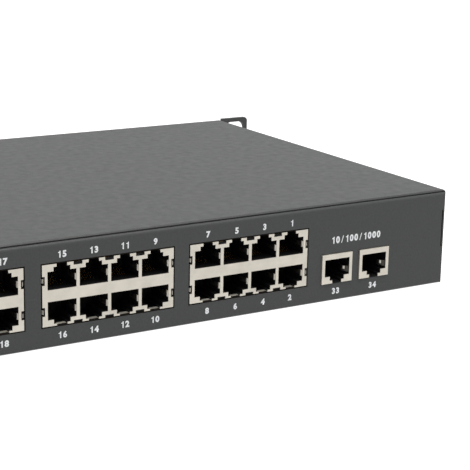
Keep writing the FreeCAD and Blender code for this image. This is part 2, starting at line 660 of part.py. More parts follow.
def make_block_shield(label, middle):
    """The folded sheet round a port block, open below the board end and at every port."""
    body = new_body("port_shield_" + label)
    half = "block_width / 2"
    outside = rectangle(f"-{half}", half, "-block_below", "block_above")
    pad(body, draw(body, "shield_outline_" + label, "XZ_Plane", [outside]), "block_depth")
    inside = rectangle(f"-{half} + shield_sheet", f"{half} - shield_sheet",
                       "-block_below + shield_sheet", "block_above - shield_sheet")
    hollow = draw(body, "shield_hollow_" + label, "XZ_Plane", [inside], offset="block_depth - shield_sheet")
    pocket(body, hollow, "block_depth - 2 * shield_sheet")
    under = draw(body, "shield_under_" + label, "XZ_Plane",
                 [rectangle(f"-{half} + 2", f"{half} - 2", "-block_below - 1", "-block_below + shield_sheet")],
                 offset="block_depth - 3")
    pocket(body, under, "block_depth - 6")
    ports = draw(body, "shield_ports_" + label, "XZ_Plane", [port_outline(True), port_outline(False)],
                 offset="shield_sheet")
    openings = pocket(body, ports)
    in_a_row(body, openings, "X_Axis", "port_pitch", BLOCK_PORTS)
    notches, windows = [], []
    for side in (-1, 1):
        edge, cut = f"{side} * ({half} + 1)", f"{side} * ({half} - side_notch_depth)"
        left, right = (edge, cut) if side < 0 else (cut, edge)
        windows.append(rectangle(left, right, "side_notch_low", "side_notch_high"))
        windows.append(rectangle(left, right, "-side_notch_high", "-side_notch_low"))
    pocket(body, draw(body, "shield_windows_" + label, "XZ_Plane", windows, offset="side_notch_reach"))
    for i in (-1, 0, 1):
        x, reach = f"{i} * port_pitch", "divider_notch_width / 2"
        notches.append(rectangle(f"{x} - {reach}", f"{x} + {reach}",
                                 "block_above - shield_sheet - divider_notch_depth", "block_above + 1"))
        notches.append(rectangle(f"{x} - {reach}", f"{x} + {reach}",
                                 "-block_below - 1", "-block_below + divider_notch_depth"))
    for i in range(BLOCK_PORTS):
        x, reach = f"{i - 1.5} * port_pitch", "latch_width / 2"
        notches.append(rectangle(f"{x} - {reach}", f"{x} + {reach}", "latch_end", "block_above + 1"))
        notches.append(rectangle(f"{x} - {reach}", f"{x} + {reach}",
                                 "-block_below - 1", "-block_below + shield_sheet"))
    pocket(body, draw(body, "shield_notches_" + label, "XZ_Plane", notches, offset="edge_notch_reach"))
    place(body, (middle, REAR, "block_axis"))
    return body


def contact_profile(start, floor, side):
    """A contact wire's outline in YZ; it slopes up from the port's floor towards the back."""
    return [(f"-{start}", floor), (f"-{start} - 0.6", floor),
            (f"-{start} - contact_run", f"{floor} + {side} * (contact_rise - 0.3)"),
            (f"-{start} - contact_run", f"{floor} + {side} * contact_rise")]


def make_block_contacts(label, middle):
    """Eight contact wires in each of the block's ports, as one body of separate wires."""
    body = new_body("port_contacts_" + label)
    profiles = [contact_profile("contact_start", "port_inner", 1),
                contact_profile("contact_start", "-port_inner", -1)]
    first = f"-port_pitch * 1.5 - contact_pitch * {(CONTACTS - 1) / 2} - contact_width / 2"
    sketch = draw(body, "contact_profiles_" + label, "YZ_Plane", profiles, offset=first)
    wires = pad(body, sketch, "contact_width")
    rows = body.newObject("PartDesign::MultiTransform", "contact_rows_" + label)
    rows.Originals = [wires]
    steps = []
    for name, step, count in (("wires", "contact_pitch", CONTACTS), ("ports", "port_pitch", BLOCK_PORTS)):
        row = body.newObject("PartDesign::LinearPattern", f"contact_{name}_{label}")
        row.Direction = (plane(body, "X_Axis"), [""])
        row.Occurrences = count
        bind(row, "Length", f"({step}) * {count - 1}")
        steps.append(row)
    rows.Transformations = steps
    body.Tip = rows
    doc.recompute()
    place(body, (middle, REAR, "block_axis"))
    return body


def make_port_blocks():
    nodes = []
    for i, label in enumerate(BLOCKS):
        middle = f"block_first + block_pitch * {i}"
        nodes.append(make_block_housing(label, middle))
        nodes.append(make_block_shield(label, middle))
        nodes.append(make_block_contacts(label, middle))
    return nodes


# -------------------------------------------------------------- single jacks

JACK_TOP = "jack_height"
JACK_MAIN_TOP = "(jack_height - jack_top_bar)"
JACK_MAIN_LOW = f"({JACK_MAIN_TOP} - jack_main)"


def jack_outline():
    """A single jack's stepped opening, latch down, about the middle of its foot."""
    steps = [("jack_open_width / 2", JACK_MAIN_TOP, JACK_MAIN_LOW),
             ("jack_step_width / 2", JACK_MAIN_LOW, f"({JACK_MAIN_LOW} - jack_step)"),
             ("jack_latch_width / 2", f"({JACK_MAIN_LOW} - jack_step)", "shield_sheet")]
    right, left = [], []
    for half, high, low in steps:
        right += [(half, high), (half, low)]
        left = [(f"-{half}", low), (f"-{half}", high)] + left
    return right + left


def make_jack(label, middle):
    """A shielded single jack: plastic housing, sheet round it and eight contacts."""
    housing = new_body("jack_housing_" + label)
    half = "(jack_width / 2 - shield_sheet)"
    inside = rectangle(f"-{half}", half, "0", f"{JACK_TOP} - shield_sheet")
    pad(housing, draw(housing, "jack_outline_" + label, "XZ_Plane", [inside], offset="shield_sheet"),
        "jack_depth + jack_proud - 2 * shield_sheet")
    pocket(housing, draw(housing, "jack_port_" + label, "XZ_Plane", [jack_outline()], offset="port_depth"))
    shield = new_body("jack_shield_" + label)
    wide = "jack_width / 2"
    outside = rectangle(f"-{wide}", wide, "0", JACK_TOP)
    pad(shield, draw(shield, "jack_skin_" + label, "XZ_Plane", [outside]), "jack_depth + jack_proud")
    hollow = rectangle(f"-{half}", half, "-1", f"{JACK_TOP} - shield_sheet")
    hollow_sketch = draw(shield, "jack_hollow_" + label, "XZ_Plane", [hollow],
                         offset="jack_depth + jack_proud - shield_sheet")
    pocket(shield, hollow_sketch, "jack_depth + jack_proud - 2 * shield_sheet")
    pocket(shield, draw(shield, "jack_mouth_" + label, "XZ_Plane", [jack_outline()], offset="shield_sheet"))
    latch = "jack_latch_width / 2"
    pocket(shield, draw(shield, "jack_latch_" + label, "XZ_Plane",
                        [rectangle(f"-{latch}", latch, "-1", "shield_sheet")], offset="shield_sheet"))
    contacts = new_body("jack_contacts_" + label)
    x = f"-contact_pitch * {(CONTACTS - 1) / 2} - contact_width / 2"
    profile = contact_profile("(contact_start + jack_proud)", JACK_MAIN_TOP, -1)
    wire_sketch = draw(contacts, "jack_wire_" + label, "YZ_Plane", [profile], offset=x)
    wire = pad(contacts, wire_sketch, "contact_width")
    in_a_row(contacts, wire, "X_Axis", "contact_pitch", CONTACTS)
    for body in (housing, shield, contacts):
        place(body, (middle, f"{REAR} + jack_proud", "board_top"))
    return [housing, shield, contacts]


# --------------------------------------------------------------- main board

BOARD_REAR = f"({REAR} - tray_sheet - board_wall_gap)"


def board_hole_places():
    """The main board's standoffs: a row clear of the port blocks, and a row at the front edge."""
    rear = f"{REAR} - tray_sheet - block_depth - 6"
    front = "board_front + 6"
    spread = ("board_left + 6", "board_left + (board_right - board_left) / 2", "board_right - 6")
    return [(x, y) for y in (rear, front) for x in spread]


def power_hole_places():
    """The power board's standoffs, one at each corner."""
    return [(x, y) for x in ("power_left + 5", "power_right - 5")
            for y in ("power_front + 5", "power_rear - 5")]


def make_board_fixings():
    """Round standoffs from the tray up to both boards, each with a screw from above."""
    posts, screws = [], []
    rise = f"{BOARD_UNDER} - tray_sheet"
    for i, (x, y) in enumerate(board_hole_places() + power_hole_places()):
        post = rod(f"post_{i}", "z", (x, y, "tray_sheet"), "standoff_radius", rise)
        bore = rod(f"post_bore_{i}", "z", (x, y, "tray_sheet"), HOLE, rise)
        posts.append(minus(f"standoff_{i}", post, [bore]))
        screws.append(screw(f"board_screw_{i}", "z", (x, y, "board_top"), "board_sheet + 3.5", -1))
    return [group("board_standoffs", posts), group("board_screws", screws)]


def board_with_holes(label, low, high, places):
    """A circuit board with its screw holes."""
    plate = box(label + "_plate", low, high)
    drills = [rod(f"{label}_drill_{i}", "z", (x, y, f"{low[2]} - 1"), HOLE, f"{high[2]} - ({low[2]}) + 2")
              for i, (x, y) in enumerate(places)]
    return minus(label, plate, drills)


def standing_box(name, x, y, wide, deep, tall, base="board_top"):
    """A box standing on a board, centred on a place."""
    return box(name, (f"{x} - {wide} / 2", f"{y} - {deep} / 2", base),
               (f"{x} + {wide} / 2", f"{y} + {deep} / 2", f"{base} + {tall}"))


def heat_sink(name, x, y, size, base):
    """A base plate with a comb of upright fins."""
    plate = standing_box(name + "_base", x, y, size, size, "sink_base", base)
    count = int(number(f"({size} - fin_sheet) / fin_pitch")) + 1
    fins = []
    for i in range(count):
        left = f"{x} - {size} / 2 + fin_pitch * {i}"
        fins.append(box(f"{name}_fin_{i}", (left, f"{y} - {size} / 2", f"{base} + sink_base"),
                        (f"{left} + fin_sheet", f"{y} + {size} / 2", f"{base} + sink_height")))
    return joined(name, [plate] + fins)


def make_main_board():
    board = board_with_holes("main_board", ("board_left", "board_front", BOARD_UNDER),
                             ("board_right", BOARD_REAR, "board_top"), board_hole_places())
    magnetics, drivers, sinks = [], [], []
    magnetics_y = f"{REAR} - tray_sheet - block_depth - magnetics_depth / 2 - 12"
    driver_y = f"{magnetics_y} - magnetics_depth / 2 - phy_size / 2 - 10"
    for i in range(len(BLOCKS)):
        middle = f"(block_first + block_pitch * {i})"
        for k in (-1, 1):
            x = f"({middle} + {k} * 15)"
            magnetics.append(standing_box(f"magnetics_{i}_{k + 1}", x, f"({magnetics_y})",
                                          "magnetics_width", "magnetics_depth", "magnetics_height"))
        drivers.append(standing_box(f"port_driver_{i}", middle, f"({driver_y})", "phy_size", "phy_size",
                                    "chip_height"))
    magnetics.append(standing_box("jack_magnetics", "(jack_first + jack_pitch / 2)", f"({magnetics_y})",
                                  "magnetics_width", "magnetics_depth", "magnetics_height"))
    switch_x, switch_y = "(block_first + block_pitch * 1.5)", "(board_front + 34)"
    switch = standing_box("switch_chip", switch_x, switch_y, "switch_chip_size", "switch_chip_size",
                          "chip_height")
    uplink_x = "(jack_first + jack_pitch / 2)"
    uplink = standing_box("uplink_chip", uplink_x, f"({driver_y})", "phy_size", "phy_size", "chip_height")
    sinks.append(heat_sink("switch_sink", switch_x, switch_y, "switch_chip_size", "(board_top + chip_height)"))
    sinks.append(heat_sink("uplink_sink", uplink_x, f"({driver_y})", "phy_size", "(board_top + chip_height)"))
    memory = [standing_box(f"buffer_chip_{i}", f"(block_first + block_pitch * 2.5 + 26 * {i})", switch_y,
                           "12", "22", "1.2") for i in range(2)]
    cans = [rod(f"board_can_{i}", "z", (f"board_right - 12 - 14 * {i}", "board_front + 14", "board_top"), "4", "11")
            for i in range(3)]
    crystals = [standing_box(f"crystal_{i}", f"(block_first + block_pitch * {i} + 20)", "(board_front + 44)",
                             "11", "4.6", "3.5") for i in (0, 2)]
    return [board, group("line_transformers", magnetics), group("port_driver_chips", drivers),
            group("switching_chips", [switch, uplink]), group("heat_sinks", sinks),
            group("buffer_memory_chips", memory), group("board_capacitors", cans), group("clock_crystals", crystals)]


# -------------------------------------------------------------- power supply

def make_power_supply():
    board = board_with_holes("power_board", ("power_left", "power_front", BOARD_UNDER),
                             ("power_right", "power_rear", "board_top"), power_hole_places())
    film = box("insulating_sheet", ("power_left + 9", "power_front + 2", "tray_sheet"),
               ("power_right - 9", "power_rear - 2", "tray_sheet + sheet_gap"))
    middle = "((power_left + power_right) / 2)"
    core = standing_box("transformer_core", middle, "12", "30", "10", "24")
    winding = standing_box("transformer_winding", middle, "12", "22", "26", "17", "(board_top + 3.5)")
    transformer = joined("power_transformer", [core, winding])
    choke = joined("mains_filter_choke", [
        standing_box("choke_core", f"({middle} - 8)", "42", "20", "16", "12"),
        standing_box("choke_bobbin", f"({middle} - 8)", "42", "12", "22", "16")])
    bulk = rod("bulk_capacitor", "y", (f"{middle} + 16", "26", "board_top + 9.05"), "9", "30")
    cans = [rod(f"output_can_{i}", "z", (f"power_left + 14 + 13 * {i}", "power_front + 20", "board_top"), "5", "20")
            for i in range(3)]
    plates = []
    for i, x in enumerate(("power_left + 3", "power_right - 5")):
        plates.append(box(f"sink_plate_{i}", (x, "power_front + 14", "board_top"),
                          (f"{x} + 2", "power_front + 44", "board_top + 26")))
    fuse = rod("mains_fuse", "x", (f"{middle} + 4", "power_rear - 6", "board_top + 3.05"), "3", "14")
    terminal = standing_box("mains_terminal", f"({middle} - 12)", "(power_rear - 5)", "20", "8", "9")
    plug = standing_box("supply_connector", f"({middle} - 6)", "(power_front + 5)", "20", "6", "8")
    return [board, film, transformer, choke, group("power_capacitors", [bulk] + cans),
            group("power_heat_sinks", plates), fuse, terminal, plug]


# ------------------------------------------------------ inlet, rocker, ground

def rounded_plate(label, x, wide, tall, thick, corner):
    """A plate on the rear face with rounded corners."""
    body = new_body(label)
    pad(body, draw(body, label + "_face", "XZ_Plane",
                   [rectangle(f"-{wide} / 2", f"{wide} / 2", f"-{tall} / 2", f"{tall} / 2")]), thick, reverse=True)
    round_edges(body, corner, lambda e: edge_runs(e, "y"))
    place(body, (x, REAR, "block_axis"))
    return body


def make_inlet():
    """The mains inlet: flange on the panel, body behind it, three pins, two screws."""
    housing = rounded_plate("power_inlet", "inlet_x", "inlet_flange_width", "inlet_flange_height",
                            "inlet_flange_sheet", "inlet_corner")
    wide, tall = "inlet_body_width / 2", "inlet_body_height / 2"
    pad(housing, draw(housing, "inlet_body", "XZ_Plane", [rectangle(f"-{wide}", wide, f"-{tall}", tall)]),
        "inlet_body_depth")
    wide, tall = "inlet_socket_width / 2", "inlet_socket_height / 2"
    socket = [(f"-{wide}", f"-{tall}"), (wide, f"-{tall}"), (wide, f"{tall} - 4"), (f"{wide} - 4", tall),
              (f"-{wide} + 4", tall), (f"-{wide}", f"{tall} - 4")]
    pocket(housing, draw(housing, "inlet_socket", "XZ_Plane", [socket],
                         offset="inlet_socket_depth - inlet_flange_sheet"))
    holes = [(f"{side} * inlet_screw_span / 2", "0", HOLE) for side in (-1, 1)]
    pocket(housing, draw_circles(housing, "inlet_holes", "XZ_Plane", holes, offset="1"))
    pins = []
    back = f"{REAR} + inlet_flange_sheet - inlet_socket_depth"
    for i, (x, z) in enumerate((("-pin_spread", "-2"), ("0", "2"), ("pin_spread", "-2"))):
        pins.append(box(f"mains_pin_{i}",
                        (f"inlet_x + {x} - pin_width / 2", back, f"block_axis + {z} - pin_height / 2"),
                        (f"inlet_x + {x} + pin_width / 2", f"{back} + pin_length",
                         f"block_axis + {z} + pin_height / 2")))
    screws = [screw(f"inlet_screw_{i}", "y", (f"inlet_x + {side} * inlet_screw_span / 2",
                                              f"{REAR} + inlet_flange_sheet", "block_axis"), "8", -1)
              for i, side in enumerate((-1, 1))]
    ground = screw("ground_screw", "y", ("ground_x", REAR, "ground_z"), "6", -1)
    return [housing, group("power_inlet_pins", pins), group("inlet_screws", screws), ground]


def make_rocker_switch():
    """The mains switch: a snap-in frame with a through hollow, and the rocker that tilts in it."""
    frame = rounded_plate("rocker_frame", "rocker_x", "rocker_frame_width", "rocker_frame_height",
                          "rocker_frame_lip", "1")
    wide, tall = "(rocker_frame_width / 2 - 1)", "(rocker_frame_height / 2 - 1)"
    pad(frame, draw(frame, "rocker_body", "XZ_Plane", [rectangle(f"-{wide}", wide, f"-{tall}", tall)]), "16")
    wide, tall = "(rocker_width / 2 + rocker_play)", "(rocker_height / 2 + rocker_play)"
    pocket(frame, draw(frame, "rocker_hollow", "XZ_Plane", [rectangle(f"-{wide}", wide, f"-{tall}", tall)],
                       offset="12"))
    bearing = [("-rocker_pivot", "0", "trunnion_radius + trunnion_fit")]
    pocket(frame, draw_circles(frame, "rocker_bearings", "YZ_Plane", bearing), both=True)
    rocker = new_body("rocker")
    half = "(rocker_height / 2 - rocker_end_play)"
    profile = [("rocker_pivot + 1.2", "0"), ("rocker_pivot + 2.4", f"-{half}"), ("0.5", f"-{half}"),
               ("-4.5", "-2.2"), ("-4.5", "2.2"), ("0.5", half), ("rocker_pivot + 2.4", half)]
    pad(rocker, draw(rocker, "rocker_profile", "YZ_Plane", [profile]), "rocker_width", both=True)
    pad(rocker, draw_circles(rocker, "rocker_trunnions", "YZ_Plane", [("0", "0", "trunnion_radius")]),
        "rocker_width + 2 * trunnion_reach", both=True)
    rocker.Placement = Placement(Vector(), Rotation(Vector(1, 0, 0), number("rocker_tilt")))
    bind(rocker, "Placement.Rotation.Angle", "rocker_tilt")
    for axis, text in zip("xyz", ("rocker_x", f"{REAR} - rocker_pivot", "block_axis")):
        bind(rocker, f"Placement.Base.{axis}", text)
    return [frame, rocker]


# ---------------------------------------------------------------------- fans

def make_fan(label, index):
    """A square fan frame with its duct and struts, and the bladed rotor on the frame's motor post."""
    y = f"fan_first + fan_step * {index}"
    side = f"{TRAY_SIDE} - tray_sheet"
    frame = new_body("fan_frame_" + label)
    half = "fan_size / 2"
    pad(frame, draw(frame, f"fan_square_{label}", "YZ_Plane", [rectangle(f"-{half}", half, f"-{half}", half)]),
        "fan_depth", reverse=True)
    pocket(frame, draw_circles(frame, f"fan_duct_{label}", "YZ_Plane", [("0", "0", "fan_bore / 2")]))
    corners = [(f"{a} * (fan_size / 2 - 4)", f"{b} * (fan_size / 2 - 4)", HOLE) for a in (-1, 1) for b in (-1, 1)]
    pocket(frame, draw_circles(frame, f"fan_holes_{label}", "YZ_Plane", corners))
    pad(frame, draw_circles(frame, f"fan_motor_{label}", "YZ_Plane", [("0", "0", "fan_hub")],
                            offset="-fan_depth"), "2")
    reach = "(fan_bore / 2 + 0.5)"
    struts = [rectangle(f"-{reach}", reach, "-1", "1")]
    pad(frame, draw(frame, f"fan_strut_{label}", "YZ_Plane", struts, offset="-fan_depth"), "2")
    pad(frame, draw(frame, f"fan_upright_{label}", "YZ_Plane", [rectangle("-1", "1", f"-{reach}", reach)],
                    offset="-fan_depth"), "2")
    pad(frame, draw_circles(frame, f"fan_post_{label}", "YZ_Plane", [("0", "0", "1.5")],
                            offset="-fan_depth + 2"), "fan_depth - 8")
    place(frame, (side, y, "fan_axis_z"))
    rotor = new_body("fan_rotor_" + label)
    pad(rotor, draw_circles(rotor, f"rotor_hub_{label}", "YZ_Plane", [("0", "0", "fan_hub")],
                            offset="-fan_depth + 2.6"), "fan_depth - 4.6")
    blade = [("fan_hub - 1", "-1.2"), ("fan_bore / 2 - fan_tip_gap", "-3.2"),
             ("fan_bore / 2 - fan_tip_gap", "-1.8"), ("fan_hub - 1", "0.4")]
    first = pad(rotor, draw(rotor, f"rotor_blade_{label}", "YZ_Plane", [blade], offset="-fan_depth + 4"),
                "fan_depth - 7")
    ring = rotor.newObject("PartDesign::PolarPattern", f"rotor_blades_{label}")
    ring.Originals = [first]
    ring.Axis = (plane(rotor, "X_Axis"), [""])
    ring.Angle = 360
    ring.Occurrences = BLADES
    rotor.Tip = ring
    doc.recompute()
    pocket(rotor, draw_circles(rotor, f"rotor_bore_{label}", "YZ_Plane", [("0", "0", "1.55")], offset="-5"))
    place(rotor, (side, y, "fan_axis_z"))
    screws = [screw(f"fan_screw_{label}_{i}", "x", ("case_width / 2", hole_y, hole_z), "fan_depth - 4", -1)
              for i, (hole_y, hole_z) in enumerate(fan_screw_places(index))]
    return frame, rotor, screws


def make_fans():
    nodes, screws = [], []
    for index, label in enumerate(FANS):
        frame, rotor, fixing = make_fan(label, index)
        nodes += [frame, rotor]
        screws += fixing
    return nodes + [group("fan_screws", screws)]


# --------------------------------------------------------------------- lamps

def make_lamps():
    """The lamp board behind the front wall, and its light pipes through the bezel."""
    back = f"{FRONT} + tray_sheet"
    pipes = []
    spots = [(f"lamp_start + lamp_pitch * {i}", f"lamp_height + {side} * lamp_row / 2")
             for i in range(LAMP_COLUMNS) for side in (-1, 1)]
    spots.append(("power_lamp_x", "lamp_height"))
    for i, (x, z) in enumerate(spots):
        pipes.append(rod(f"light_pipe_{i}", "y", (x, f"{EAR_FACE} + 0.1", z), "lamp_radius",
                         "bezel_depth + tray_sheet + 3.9"))
    board = box("lamp_board", ("power_lamp_x - 6", f"{back} + 4", "lamp_height - 14"),
                (f"lamp_start + lamp_pitch * {LAMP_COLUMNS}", f"{back} + 4 + board_sheet", "lamp_height + 12"))
    posts = []
    for i, x in enumerate(("power_lamp_x + 3", f"lamp_start + lamp_pitch * {LAMP_COLUMNS} - 6")):
        posts.append(rod(f"lamp_board_post_{i}", "y", (x, back, "lamp_height - 11"), "2.5", "4"))
    ribbon = box("lamp_ribbon", ("lamp_start + 40", f"{back} + 4 + board_sheet", "lamp_height - 13"),
                 ("lamp_start + 70", "board_front", "lamp_height - 12.2"))
    return [group("light_pipes", pipes), board, group("lamp_board_posts", posts), ribbon]


# ---------------------------------------------------------------------- build

nodes = [make_tray(), make_cover(), make_bezel(), make_ear("rack_ear_left", -1), make_ear("rack_ear_right", 1)]
nodes += make_case_screws()
nodes += make_port_blocks()
for index, label in enumerate(JACKS):
    nodes += make_jack(label, f"jack_first + jack_pitch * {index}")
nodes += make_main_board()
nodes += make_power_supply()
nodes += make_board_fixings()
nodes += make_inlet()
nodes += make_rocker_switch()
nodes += make_fans()
nodes += make_lamps()
doc.recompute()

for thing in doc.Objects:
    if {"Invalid", "Error"} & set(thing.State):
        raise RuntimeError(f"{thing.Name} failed: {thing.State}")
for node in nodes:
    if node.Shape.isNull() or not node.Shape.isValid() or not node.Shape.Solids:
        raise RuntimeError(f"{node.Label} has no sound shape")

os.makedirs("parts", exist_ok=True)
for node in nodes:
    node.Shape.exportStep(f"parts/{node.Label}.step")
print(len(nodes), "nodes,", sum(len(node.Shape.Solids) for node in nodes), "solids")
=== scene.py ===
"""The looks of a rackmount network switch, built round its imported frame, in metres."""
import json
import math

import bmesh
import bpy
from mathutils import Matrix, Vector


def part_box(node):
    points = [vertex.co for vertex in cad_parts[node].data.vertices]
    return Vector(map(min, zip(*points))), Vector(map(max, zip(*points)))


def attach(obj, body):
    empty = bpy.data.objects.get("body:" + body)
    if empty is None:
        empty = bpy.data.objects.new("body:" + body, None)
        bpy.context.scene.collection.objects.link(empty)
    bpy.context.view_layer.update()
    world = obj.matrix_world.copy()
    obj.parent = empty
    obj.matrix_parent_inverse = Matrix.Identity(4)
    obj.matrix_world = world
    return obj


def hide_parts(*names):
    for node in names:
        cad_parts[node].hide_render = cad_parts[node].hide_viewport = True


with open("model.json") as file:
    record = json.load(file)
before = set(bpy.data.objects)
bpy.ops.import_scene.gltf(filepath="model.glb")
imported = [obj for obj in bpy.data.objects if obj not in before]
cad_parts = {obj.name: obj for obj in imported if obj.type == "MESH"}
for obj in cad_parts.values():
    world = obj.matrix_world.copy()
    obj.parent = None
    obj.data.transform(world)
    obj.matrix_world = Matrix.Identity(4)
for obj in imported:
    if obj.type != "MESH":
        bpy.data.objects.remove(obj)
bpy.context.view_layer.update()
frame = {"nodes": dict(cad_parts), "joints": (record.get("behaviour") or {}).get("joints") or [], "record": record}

MM = 0.001
SCENE = bpy.context.scene
NODES = frame["nodes"]
SLOTS = {part["node"]: part["material_slot"] for part in frame["record"]["subparts"]}

# Colours as a paint chart gives them, 0 to 255.
COAT_GREY = (64, 66, 66)
BEZEL_GREY = (60, 62, 65)
TIN_GREY = (195, 190, 180)
PRINT_WHITE = (236, 239, 243)

# A Mix node's colour inputs and output, which share their names with its other types.
MIX_FIRST, MIX_SECOND, MIX_RESULT = 6, 7, 2
RIBBON_PITCH = 1.27 * MM
WAVES_PER_SCALE = 3.18


def chart(colour):
    """A paint chart's colour as the linear one that shaders take."""
    def linear(part):
        part /= 255
        return part / 12.92 if part <= 0.04045 else ((part + 0.055) / 1.055) ** 2.4
    return tuple(linear(part) for part in colour) + (1.0,)


# ------------------------------------------------------------------- finishes

class Finish:
    """A material round one Principled shader, with patterns in the object's own coordinates."""

    def __init__(self, name, colour, roughness, metallic=0.0, **sockets):
        self.material = bpy.data.materials.new(name)
        self.material.use_nodes = True
        self.tree = self.material.node_tree
        self.shader = self.tree.nodes["Principled BSDF"]
        self.colour = chart(colour)
        self.shader.inputs["Base Color"].default_value = self.colour
        self.shader.inputs["Roughness"].default_value = roughness
        self.shader.inputs["Metallic"].default_value = metallic
        for socket, value in sockets.items():
            self.shader.inputs[socket.replace("_", " ")].default_value = value
        self.place = self.tree.nodes.new("ShaderNodeTexCoord").outputs["Object"]

    def node(self, kind, **values):
        made = self.tree.nodes.new(kind)
        for key, value in values.items():
            setattr(made, key, value)
        return made

    def stretched(self, scale):
        """Object coordinates stretched by three factors."""
        mapping = self.node("ShaderNodeMapping")
        mapping.inputs["Scale"].default_value = scale
        self.tree.links.new(self.place, mapping.inputs["Vector"])
        return mapping.outputs["Vector"]

    def noise(self, size, detail=3.0, place=None):
        """Cloudy noise whose blotches are about size metres across."""
        made = self.node("ShaderNodeTexNoise")
        made.inputs["Scale"].default_value = 1 / size
        made.inputs["Detail"].default_value = detail
        self.tree.links.new(place or self.place, made.inputs["Vector"])
        return made.outputs["Fac"]

    def spread(self, value, low, high):
        """A 0 to 1 value stretched to run from low to high."""
        made = self.node("ShaderNodeMapRange")
        made.inputs["From Min"].default_value = 0.3
        made.inputs["From Max"].default_value = 0.7
        made.inputs["To Min"].default_value = low
        made.inputs["To Max"].default_value = high
        self.tree.links.new(value, made.inputs["Value"])
        return made.outputs["Result"]

    def vary_colour(self, value, low, high):
        """The base colour darkened and lightened by a pattern, from low to high times itself."""
        mix = self.node("ShaderNodeMix", data_type="RGBA")
        for socket, factor in ((MIX_FIRST, low), (MIX_SECOND, high)):
            shade = [min(1.0, part * factor) for part in self.colour[:3]] + [1.0]
            mix.inputs[socket].default_value = shade
        self.tree.links.new(self.spread(value, 0.0, 1.0), mix.inputs[0])
        self.tree.links.new(mix.outputs[MIX_RESULT], self.shader.inputs["Base Color"])
        return self

    def vary_roughness(self, value, low, high):
        self.tree.links.new(self.spread(value, low, high), self.shader.inputs["Roughness"])
        return self

    def bump(self, value, depth, strength):
        """Relief of about depth metres."""
        made = self.node("ShaderNodeBump")
        made.inputs["Strength"].default_value = strength
        made.inputs["Distance"].default_value = depth
        self.tree.links.new(value, made.inputs["Height"])
        below = self.shader.inputs["Normal"]
        if below.is_linked:
            self.tree.links.new(below.links[0].from_socket, made.inputs["Normal"])
        self.tree.links.new(made.outputs["Normal"], below)
        return self


def powder_coat():
    """Baked powder on steel, with a fine orange peel."""
    finish = Finish("powder_coat", COAT_GREY, 0.47, Specular_IOR_Level=0.25)
    finish.vary_colour(finish.noise(0.0009, 3.0), 0.91, 1.09)
    finish.vary_roughness(finish.noise(0.004), 0.43, 0.52)
    finish.bump(finish.noise(0.0006, 2.0), 0.00006, 0.5)
    return finish.material


def bezel_plastic():
    finish = Finish("bezel_plastic", BEZEL_GREY, 0.5)
    finish.vary_roughness(finish.noise(0.0006), 0.42, 0.58)
    finish.bump(finish.noise(0.0005, 2.0), 0.00006, 0.5)
    return finish.material


def tin_plate():
    """Tinned sheet, rolled lengthwise and dulled by handling."""
    finish = Finish("tin_plate", TIN_GREY, 0.42, metallic=0.55, Specular_IOR_Level=0.5)
    rolled = finish.noise(0.001, 3.0, finish.stretched((0.12, 1.0, 1.0)))
    finish.vary_colour(finish.noise(0.006, 4.0), 0.9, 1.06)
    finish.vary_roughness(rolled, 0.34, 0.5)
    finish.bump(rolled, 0.00002, 0.4)
    return finish.material


def moulded(name, colour, roughness, grain=0.0005, shine=0.5):
    """Moulded plastic with a fine spark grain."""
    finish = Finish(name, colour, roughness, Specular_IOR_Level=shine)
    finish.vary_colour(finish.noise(0.01, 2.0), 0.9, 1.1)
    finish.vary_roughness(finish.noise(grain), roughness - 0.06, roughness + 0.06)
    finish.bump(finish.noise(grain, 2.0), 0.00004, 0.4)
    return finish.material


def plated(name, colour, roughness):
    """Plated or machined metal with small scratches."""
    finish = Finish(name, colour, roughness, metallic=1.0)
    finish.vary_colour(finish.noise(0.003, 3.0), 0.88, 1.08)
    finish.vary_roughness(finish.noise(0.0008, 3.0), roughness - 0.08, roughness + 0.1)
    finish.bump(finish.noise(0.0004, 2.0), 0.00001, 0.3)
    return finish.material


def circuit_board():
    """Green solder mask over copper, which shows through as paler tracks."""
    finish = Finish("circuit_board", (22, 78, 44), 0.35, Specular_IOR_Level=0.5)
    tracks = finish.node("ShaderNodeTexBrick", offset=0.37)
    tracks.inputs["Scale"].default_value = 90
    tracks.inputs["Mortar Size"].default_value = 0.012
    tracks.inputs["Color1"].default_value = chart((20, 72, 40))
    tracks.inputs["Color2"].default_value = chart((24, 84, 48))
    tracks.inputs["Mortar"].default_value = chart((44, 118, 72))
    finish.tree.links.new(finish.place, tracks.inputs["Vector"])
    finish.tree.links.new(tracks.outputs["Color"], finish.shader.inputs["Base Color"])
    finish.bump(tracks.outputs["Fac"], 0.00003, 0.5)
    return finish.material


def frosted_pipe():
    finish = Finish("lamp_clear", (205, 214, 204), 0.35, Transmission_Weight=0.35, Specular_IOR_Level=0.5)
    finish.vary_roughness(finish.noise(0.0005), 0.3, 0.42)
    return finish.material


def taped_core():
    """Yellow polyester tape round ferrite."""
    finish = Finish("transformer", (168, 142, 52), 0.3)
    finish.vary_colour(finish.noise(0.003, 2.0, finish.stretched((1, 1, 6))), 0.8, 1.1)
    finish.bump(finish.noise(0.002, 2.0, finish.stretched((0.3, 0.3, 4))), 0.0001, 0.4)
    return finish.material


def flat_ribbon():
    """Grey flat cable, ribbed along its conductors."""
    finish = Finish("ribbon_grey", (150, 150, 148), 0.45)
    ribs = finish.node("ShaderNodeTexWave", bands_direction="X")
    ribs.inputs["Scale"].default_value = 1 / RIBBON_PITCH / WAVES_PER_SCALE
    finish.tree.links.new(finish.place, ribs.inputs["Vector"])
    # The colour darkens in the grooves between the ribs: painted shade.
    finish.vary_colour(ribs.outputs["Fac"], 0.75, 1.05)
    finish.bump(ribs.outputs["Fac"], 0.0003, 0.8)
    return finish.material


